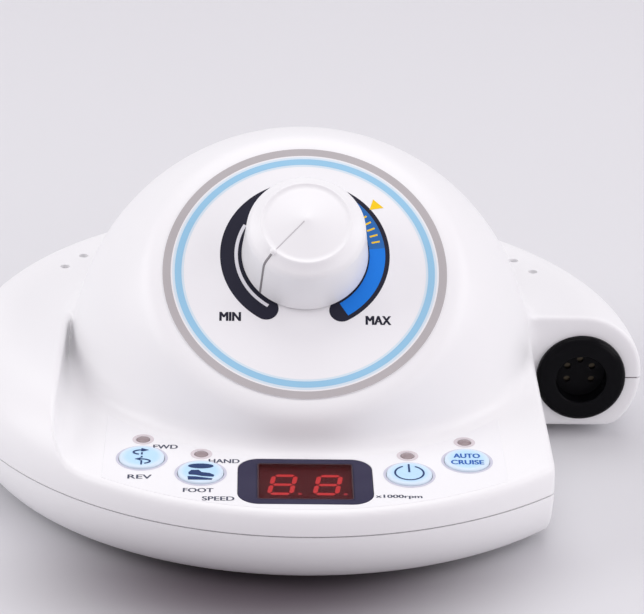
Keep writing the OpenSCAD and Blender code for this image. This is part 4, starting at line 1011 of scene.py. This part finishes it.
def ring_row_tree():
    """Geometry nodes that set a flat ring on every point of a mesh."""
    tree, given, out = new_group(
        "ring_row", "GeometryNodeTree", {"Geometry": "Geometry"},
        {"Geometry": ("Geometry", None), "Inner Radius": ("Float", 0.002), "Outer Radius": ("Float", 0.003),
         "Material": ("Material", None)})
    circle = wired(tree, "GeometryNodeMeshCircle", {"Vertices": 48, "Radius": given["Inner Radius"]},
                   fill_type="NONE")
    ratio = summed(tree, "DIVIDE", given["Outer Radius"], given["Inner Radius"])
    growth = summed(tree, "SUBTRACT", ratio, 1.0)
    spot = wired(tree, "GeometryNodeInputPosition", {}).outputs["Position"]
    offset = wired(tree, "ShaderNodeVectorMath", {"Vector": spot, "Scale": growth}, operation="SCALE")
    band = wired(tree, "GeometryNodeExtrudeMesh", {
        "Mesh": circle.outputs["Mesh"], "Offset": offset.outputs["Vector"]}, mode="EDGES")
    copies = wired(tree, "GeometryNodeInstanceOnPoints", {"Points": given["Geometry"],
                                                          "Instance": band.outputs["Mesh"]})
    return painted_copies(tree, given, out, copies)


lamp_spots = [(x, y + LAMP_BACK) for x, y in KEYS.values()]
spots = mesh_of("lamp_spots", [(x, y, sheet_print) for x, y in lamp_spots], [])
lamp_rings = grown(ring_row_tree(), {"Inner Radius": LAMP_RING[0] * MM, "Outer Radius": LAMP_RING[1] * MM,
                                     "Material": INK_ROSE}, spots)
lamp_rings = placed(facing(lamp_rings, Vector((0, 0, 1))), panel_place)
new_piece("lamp_rings", lamp_rings, INK_ROSE, "unit", "printed_sheet")

# Keys: four light blue plastic discs with a soft edge, sprung up through the sheet.
# A dark blue sign is printed on each: turning arrows, hand or foot, power, and cruise.
KEY_R = 6.42
KEY_LOW = -1.5
KEY_TOP = 1.0
KEY_SOFT = 0.6
KEY_PALE = (0.62, 1.0)
KEY_PALE_TONE = (0.68, 0.80, 0.90)
AXIS_DASHES = ((2.8, 4.6), (0.9, 2.2), (-0.9, 0), (-5.0, -2.5))
AXIS_W = 0.5
ARROW_R = (2.4, 1.3)
ARROW_W = 0.6
ARROW_HEAD = 1.7
ARROWS = ((250, 84, (0, 2.3)), (-70, 96, (0, -3.0)))
HANDPIECE = (3.6, 1.4, 2.9)
SHOE = [(-2.6, 0.5), (-0.6, 0.6), (0.3, -0.7), (2.6, -1.2), (3.9, -2.3), (3.6, -3.3), (0.4, -2.9),
        (-1.2, -2.3), (-3.3, -2.1), (-3.4, -0.8)]
PEDAL = [(-3.6, -3.1), (-1.4, -3.2), (3.4, -4.3), (3.2, -5.1), (-3.4, -5.1)]
POWER_RING = (3.75, 4.3, 115, 425)
POWER_BAR = [(0, 0.4), (0, 5.0)]
POWER_BAR_W = 0.55
CRUISE_WORDS = (("AUTO", (0, 1.9), 7.4), ("CRUISE", (0, -1.9), 9.2))
CRUISE_WORD_H = 2.5
CRUISE_BOLD = 0.1
INK_KEY = ink("ink_key", (0.022, 0.045, 0.14), (0.03, 0.06, 0.17))
INK_KEY_WORD = ink("ink_key_word", (0.02, 0.10, 0.42), (0.03, 0.13, 0.48))
key_profile = [(KEY_R, KEY_LOW)] + arc_points((KEY_R - KEY_SOFT, KEY_TOP - KEY_SOFT), KEY_SOFT, 0, 80, 6)
key_profile += [(KEY_R - 1.4, KEY_TOP), (KEY_R * 0.5, KEY_TOP - 0.03), (0, KEY_TOP - 0.05)]


def key_plastic():
    """Blue plastic, paler towards the cap's rim."""
    material = plastic("key_blue", (0.46, 0.71, 0.93), (0.51, 0.75, 0.95), gloss=(0.34, 0.44))
    tree = material.node_tree
    shader = tree.nodes["Principled BSDF"]
    body_tone = shader.inputs["Base Color"].links[0].from_socket
    rim = wired(tree, "ShaderNodeAttribute", {}, attribute_name="rim").outputs["Fac"]
    fade = ramped(tree, rim, {"From Min": KEY_PALE[0], "From Max": KEY_PALE[1]}, "SMOOTHSTEP")
    fed(tree, shader, {"Base Color": mixed(tree, fade, body_tone, KEY_PALE_TONE)})
    return material


def key_cap(name):
    """Turned cap that keeps each point's share of the radius for its material."""
    mesh = turned(name, key_profile, sides=64)
    share = mesh.attributes.new("rim", "FLOAT", "POINT")
    for vertex, item in zip(mesh.vertices, share.data):
        item.value = math.hypot(vertex.co.x, vertex.co.y) / (KEY_R * MM)
    return mesh


KEY_BLUE = key_plastic()


def ellipse(radii, turns):
    """Points of an ellipse at the given angles."""
    return [(radii[0] * math.cos(t), radii[1] * math.sin(t)) for t in turns]


def arrow_arc(start, end, at):
    """Part of an ellipse drawn as a line, with an arrow head at its end, about a point."""
    path = ellipse(ARROW_R, np.radians(np.linspace(start, end, 25)))
    tip = np.array(path[-1])
    along = unit(tip - path[-3])
    side = leftward(along) * ARROW_HEAD / 2
    barb = plate([tuple(tip + side), tuple(tip + along * ARROW_HEAD), tuple(tip - side)])
    return [moved(shape, at) for shape in (stroke(path, ARROW_W), barb)]


def direction_sign():
    """Two opposed turning arrows about a dashed upright axis."""
    axis = [stroke([(0, low), (0, high)], AXIS_W) for low, high in AXIS_DASHES]
    return axis + [shape for arrow in ARROWS for shape in arrow_arc(*arrow)]


def hand_foot_sign():
    """A slim handpiece over a shoe on a pedal."""
    *radii, height = HANDPIECE
    handpiece = plate(ellipse(radii, np.linspace(0, 2 * math.pi, 40, endpoint=False)))
    return [moved(handpiece, (0, height)), plate(SHOE), plate(PEDAL)]


def power_sign():
    """A ring open at the top with an upright bar in the gap."""
    return [arc_band(*POWER_RING), stroke(POWER_BAR, POWER_BAR_W)]


def cruise_sign():
    """Two words, one over the other."""
    return worded(CRUISE_WORDS, CRUISE_WORD_H, CRUISE_BOLD)


key_signs = {"direction": (direction_sign(), INK_KEY), "hand_foot": (hand_foot_sign(), INK_KEY),
             "power": (power_sign(), INK_KEY), "cruise": (cruise_sign(), INK_KEY_WORD)}
for key, at in KEYS.items():
    spot = panel_place @ shifted(*at)
    cap = placed(key_cap(f"key_cap_{key}"), spot)
    new_piece(f"key_cap_{key}", cap, KEY_BLUE, f"{key}_key_body", "key_blue", f"key_{key}")
    sign, colour = key_signs[key]
    printed(f"key_sign_{key}", sign, spot, KEY_TOP + PRINT_LIFT, colour, f"{key}_key_body", "key_blue")

# Indicator lamps: clear lenses of unlit lamps, level with the sheet behind each key.
# They are moulded in tinted plastic and stand on the board underneath.
LAMP_R = 1.9
LAMP_LOW = -6
LENS_EDGE = 0.32
LENS_R = 4.9
LENS_AT = (0, -4.2)
LENS_FROM = 67.5
LAMP_CLEAR = plastic("lamp_clear", (0.36, 0.28, 0.29), (0.44, 0.35, 0.36), gloss=(0.08, 0.14), drift=400.0,
                     Transmission_Weight=0.25)
lamp_profile = [(LAMP_R, LAMP_LOW), (LAMP_R, LENS_EDGE)] + arc_points(LENS_AT, LENS_R, LENS_FROM, 90, 6)


def turned_set(name, profile, sides, places):
    """One mesh of like turned pieces, one at each place."""
    mesh = bpy.data.meshes.new(name)
    with bench(mesh) as bm:
        for place in places:
            bm.from_mesh(placed(turned("one", profile, sides), place))
    return mesh


lamps = turned_set("lamp_lenses", lamp_profile, 40, [panel_place @ shifted(*at) for at in lamp_spots])
new_piece("lamp_lenses", lamps, LAMP_CLEAR, "unit", "lamp_clear", "indicator_lamps")

# Display: a smoked acrylic window over a dark red two-digit module with lit bars; the module's own face has
# a faint painted glow.
# The window drops into a seat in the panel, level with the sheet.
MODULE_HALF = (13.2, 10.0)
MODULE_TOP = -1.5
MODULE_FACE = [(-13.4, -98), (13.4, -98), (13.4, -74.5), (-13.4, -74.5)]
FACE_LIFT = 0.05
BAR_LIFT = 0.15
DIGIT_W = 7.4
DIGIT_H = 11.6
DIGIT_PITCH = 12.7
DIGIT_LEAN = math.radians(8)
BAR = 1.3
BAR_GAP = 0.3
POINT_R = 0.6
POINT_OUT = 1.1
MODULE_FADE = 0.9
PAINT_D = 0.5
WINDOW_EDGE = 0.2
SLATE_TONES = ((0.040, 0.037, 0.070), (0.052, 0.048, 0.086))
SMOKE_TONE = (0.62, 0.42, 0.44)


def smoked_window():
    """Acrylic with a slate-coloured top, left clear with soft edges in front of the module."""
    material, tree, shader = new_material("window_smoke")
    spot = object_spot(tree)
    split = wired(tree, "ShaderNodeSeparateXYZ", {"Vector": spot}).outputs
    sides = []
    for axis, middle, half in (("X", 0, MODULE_HALF[0]), ("Y", WINDOW_Y, MODULE_HALF[1])):
        offset = summed(tree, "ABSOLUTE", summed(tree, "SUBTRACT", split[axis], middle * MM))
        edges = {"From Min": (half + MODULE_FADE) * MM, "From Max": (half - MODULE_FADE) * MM}
        sides.append(ramped(tree, offset, edges, "SMOOTHSTEP"))
    pane = summed(tree, "MULTIPLY", *sides)
    height = summed(tree, "MULTIPLY_ADD", split["Y"], -math.tan(PANEL_TILT), split["Z"])
    under = summed(tree, "LESS_THAN", height, (PANEL_Z - PAINT_D) * MM)
    clear = summed(tree, "MAXIMUM", pane, under)
    slate = mixed(tree, noise(tree, spot, scale=120.0), *SLATE_TONES)
    tint = mixed(tree, ramped(tree, clear, {"From Min": 0.3}), slate, SMOKE_TONE)
    fed(tree, shader, {"Base Color": tint, "Transmission Weight": ramped(tree, clear, {"From Max": 0.7}),
                       "Roughness": 0.12, "IOR": 1.12, "Specular IOR Level": 0.3})
    return material


def finished(material, *nodes):
    """Gives CAD nodes that keep their shape the finish of their real material, with any painted glow or
    shade that finish carries.
    """
    for node in nodes:
        frame["nodes"][node].data.materials.clear()
        frame["nodes"][node].data.materials.append(material)


WINDOW_SMOKE = smoked_window()
# The module's face glows faintly though it is no lamp: a painted glow.
MODULE_GLOW_PAINTED = plastic("module_glow_painted", (0.07, 0.004, 0.006), (0.10, 0.006, 0.008), gloss=(0.5, 0.6),
                     Emission_Color=(0.045, 0.0015, 0.002), Emission_Strength=1.0)
DIGIT_RED = plastic("digit_red", (0.60, 0.08, 0.07), (0.66, 0.10, 0.09), gloss=(0.3, 0.4),
                    Emission_Color=(1.0, 0.07, 0.07), Emission_Strength=0.55)
POINT_RED = plastic("point_red", (0.34, 0.05, 0.06), (0.40, 0.06, 0.07), gloss=(0.3, 0.4),
                    Emission_Color=(0.8, 0.06, 0.07), Emission_Strength=0.45)
eased("display_window", WINDOW_EDGE, WINDOW_SMOKE, "window_smoke")
finished(MODULE_GLOW_PAINTED, "display_module")
printed("module_face", [plate(MODULE_FACE)], panel_place, MODULE_TOP + FACE_LIFT, MODULE_GLOW_PAINTED, "unit",
        "display_red")


def digit_bars(at):
    """The seven bars of one numeral, leaning to the right."""
    half_w, half_h = DIGIT_W / 2 - BAR / 2, DIGIT_H / 2 - BAR / 2
    ends = [((-half_w, side * half_h), (half_w, side * half_h)) for side in (-1, 0, 1)]
    ends += [((side * half_w, low), (side * half_w, low + half_h))
             for side in (-1, 1) for low in (-half_h, 0)]
    shapes = []
    for start, end in ends:
        start, end = np.array(start), np.array(end)
        along = unit(end - start)
        side = leftward(along) * BAR / 2
        start, end = start + along * BAR_GAP, end - along * BAR_GAP
        outline = [start, start + along * BAR / 2 - side, end - along * BAR / 2 - side, end,
                   end - along * BAR / 2 + side, start + along * BAR / 2 + side]
        shapes.append(plate([(at[0] + x + y * math.tan(DIGIT_LEAN), at[1] + y) for x, y in outline]))
    return shapes


digit_spots = [(side * DIGIT_PITCH / 2, WINDOW_Y) for side in (-1, 1)]
bars = [shape for spot in digit_spots for shape in digit_bars(spot)]
lit = printed("lit_bars", bars, panel_place, MODULE_TOP + BAR_LIFT, DIGIT_RED, "unit", "digit_red")
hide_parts("display_digits")
points = [round_end((x + DIGIT_W / 2 + POINT_OUT, y - DIGIT_H / 2 + BAR / 2), POINT_R)
          for x, y in digit_spots]
printed("dim_points", points, panel_place, MODULE_TOP + BAR_LIFT, POINT_RED, "unit", "digit_red")

# Motor socket: a glossy black shell with a wide flange, pulled against the notch's wall from inside.
# A matt insert at the bottom of its mouth holds five brass contacts, darkened nearly to black as painted
# shade.
FLANGE_R = 13.9
FLANGE_T = 3
FLANGE_SOFT = 2.2
BARREL_R = 11
BARREL_L = 11
MOUTH_R = 7.7
MOUTH_D = 6
MOUTH_SOFT = 0.7
INSERT_R = 8.5
SOCKET_BLACK = plastic("socket_black", (0.003, 0.003, 0.004), (0.005, 0.005, 0.006), gloss=(0.16, 0.24),
                       Specular_IOR_Level=0.06)
INSERT_BLACK = plastic("insert_black", (0.004, 0.004, 0.005), (0.007, 0.007, 0.008), gloss=(0.4, 0.55),
                       Specular_IOR_Level=0.06)
socket_place = shifted(SOCKET_AT[0], SOCKET_Y, SOCKET_AT[1]) @ Matrix.Rotation(math.pi / 2, 4, "X")
socket_profile = [(BARREL_R, -BARREL_L), (BARREL_R, 0), (FLANGE_R, 0)]
socket_profile += arc_points((FLANGE_R - FLANGE_SOFT, FLANGE_T - FLANGE_SOFT), FLANGE_SOFT, 0, 90, 12)
socket_profile += arc_points((MOUTH_R + MOUTH_SOFT, FLANGE_T - MOUTH_SOFT), MOUTH_SOFT, 90, 180, 6)
socket_profile += [(MOUTH_R, FLANGE_T - MOUTH_D), (INSERT_R, FLANGE_T - MOUTH_D), (INSERT_R, -BARREL_L)]
socket = placed(turned("motor_socket_shell", socket_profile), socket_place)
new_piece("motor_socket_shell", socket, SOCKET_BLACK, "unit", "socket_black", "socket_shell")

# Rear connectors: a black mains inlet with a fuse drawer below it, and the pedal's jack with its nut.
# Their mouldings have eased edges, and the jack's nut is plated steel.
STREAKS = (60, 1500, 1500)


def metal_grain():
    """Shader group for bare metal: fine streaks along X that change the gloss and the tone."""
    tree, given, out = new_group(
        "metal_grain", "ShaderNodeTree", {"Streak": "Float", "Roughness": "Float"},
        {"Gloss Low": ("Float", 0.2), "Gloss High": ("Float", 0.4)})
    stretch = wired(tree, "ShaderNodeMapping", {"Vector": object_spot(tree), "Scale": STREAKS})
    streak = noise(tree, stretch.outputs["Vector"], scale=1.0)
    gloss = ramped(tree, streak, {"To Min": given["Gloss Low"], "To Max": given["Gloss High"]})
    fed(tree, out, {"Streak": streak, "Roughness": gloss})
    return tree


METAL_GRAIN = metal_grain()


def metal(name, colour, second, gloss=(0.22, 0.4)):
    """Bare or plated metal with a fine grain."""
    material, tree, shader = new_material(name)
    values = {"Gloss Low": gloss[0], "Gloss High": gloss[1]}
    made = wired(tree, "ShaderNodeGroup", values, node_tree=METAL_GRAIN).outputs
    fed(tree, shader, {"Base Color": mixed(tree, made["Streak"], colour, second),
                       "Roughness": made["Roughness"], "Metallic": 1.0})
    return material


PLATED_STEEL = metal("plated_steel", (0.55, 0.55, 0.57), (0.66, 0.66, 0.68))
# This brass is darkened nearly to black: painted shade for the contacts deep in the socket's mouth.
BRASS_PAINTED_SHADE = metal("contact_brass", (0.045, 0.038, 0.028), (0.065, 0.053, 0.036))

for node, width, material, slot in (
        ("mains_inlet", 0.35, SOCKET_BLACK, "socket_black"),
        ("fuse_drawer", 0.25, INSERT_BLACK, "insert_black"),
        ("inlet_blades", 0.25, PLATED_STEEL, "plated_steel"),
        ("pedal_jack", 0.2, SOCKET_BLACK, "socket_black"),
        ("pedal_jack_nut", 0.3, PLATED_STEEL, "plated_steel")):
    eased(node, width, material, slot)

# Rubber feet: four soft black discs that stand a little out of the base.
# Each is moulded with two ring grooves in its sole, which grip a smooth table.
FOOT_R = 8
FOOT_RING_R = 80
FOOT_TURNS = (40, 140, 220, 320)
FOOT_TOP = 3.8
FOOT_SOFT = 0.8
FOOT_RUBBER = plastic("foot_rubber", (0.018, 0.018, 0.019), (0.028, 0.028, 0.03), gloss=(0.6, 0.8),
                      peel=1800.0, depth=0.12)
foot_profile = [(0, 0.35), (2.6, 0.35), (3.0, 0), (4.2, 0), (4.5, 0.4), (5.1, 0.4), (5.4, 0)]
foot_profile += arc_points((FOOT_R - FOOT_SOFT, FOOT_SOFT), FOOT_SOFT, -90, 0, 6)
foot_profile += [(FOOT_R, FOOT_TOP), (0, FOOT_TOP)]
feet = turned_set("feet", foot_profile, 48, [shifted(*on_arc(FOOT_RING_R, t)) for t in FOOT_TURNS])
new_piece("feet", feet, FOOT_RUBBER, "unit", "foot_rubber", "rubber_feet")

# Parts inside the closed case: potentiometer, boards, transformer, leads and fasteners.
# Nothing outside shows them, so each keeps its CAD shape under the finish of its real material; the brass is
# darkened as painted shade.
BOARD_GREEN = plastic("board_green", (0.012, 0.10, 0.035), (0.018, 0.13, 0.05), gloss=(0.3, 0.45),
                      drift=120.0)
WINDING_VARNISH = plastic("winding_varnish", (0.30, 0.12, 0.03), (0.42, 0.18, 0.05), gloss=(0.25, 0.4),
                          drift=300.0)
SINK_METAL = metal("sink_metal", (0.42, 0.43, 0.45), (0.52, 0.53, 0.55), gloss=(0.35, 0.5))
CAP_SLEEVE = plastic("cap_sleeve", (0.008, 0.010, 0.035), (0.012, 0.015, 0.05), gloss=(0.2, 0.3))
HEADER_IVORY = plastic("header_ivory", (0.72, 0.66, 0.50), (0.76, 0.70, 0.54), gloss=(0.35, 0.45))
LEAD_SLEEVE = plastic("lead_sleeve", (0.16, 0.16, 0.18), (0.20, 0.20, 0.22), gloss=(0.45, 0.6), drift=200.0)
FUSE_GLASS = plastic("fuse_glass", (0.75, 0.82, 0.84), (0.80, 0.86, 0.88), gloss=(0.02, 0.06),
                     Transmission_Weight=0.9)
finished(PLATED_STEEL, "dial_shaft", "dial_can", "dial_terminals", "dial_washer", "dial_nut", "board_screws",
         "socket_ring_nut", "coil_plate", "coil_bolt", "main_board_screws", "case_screws")
finished(BRASS_PAINTED_SHADE, "socket_contacts", "knob_collet")
finished(INSERT_BLACK, "socket_insert", "switch_bodies", "power_transistors", "dial_track", "dial_wiper",
         *(f"plunger_{key}" for key in KEYS))
finished(BOARD_GREEN, "control_board", "main_board")
finished(WINDING_VARNISH, "coil_winding")
finished(FOOT_RUBBER, "coil_pad")
finished(SINK_METAL, "heat_sink")
finished(CAP_SLEEVE, "capacitors")
finished(HEADER_IVORY, "board_headers")
finished(LEAD_SLEEVE, "ribbon", "dial_lead", "motor_lead", "mains_lead", "coil_lead")
finished(FUSE_GLASS, "fuse")
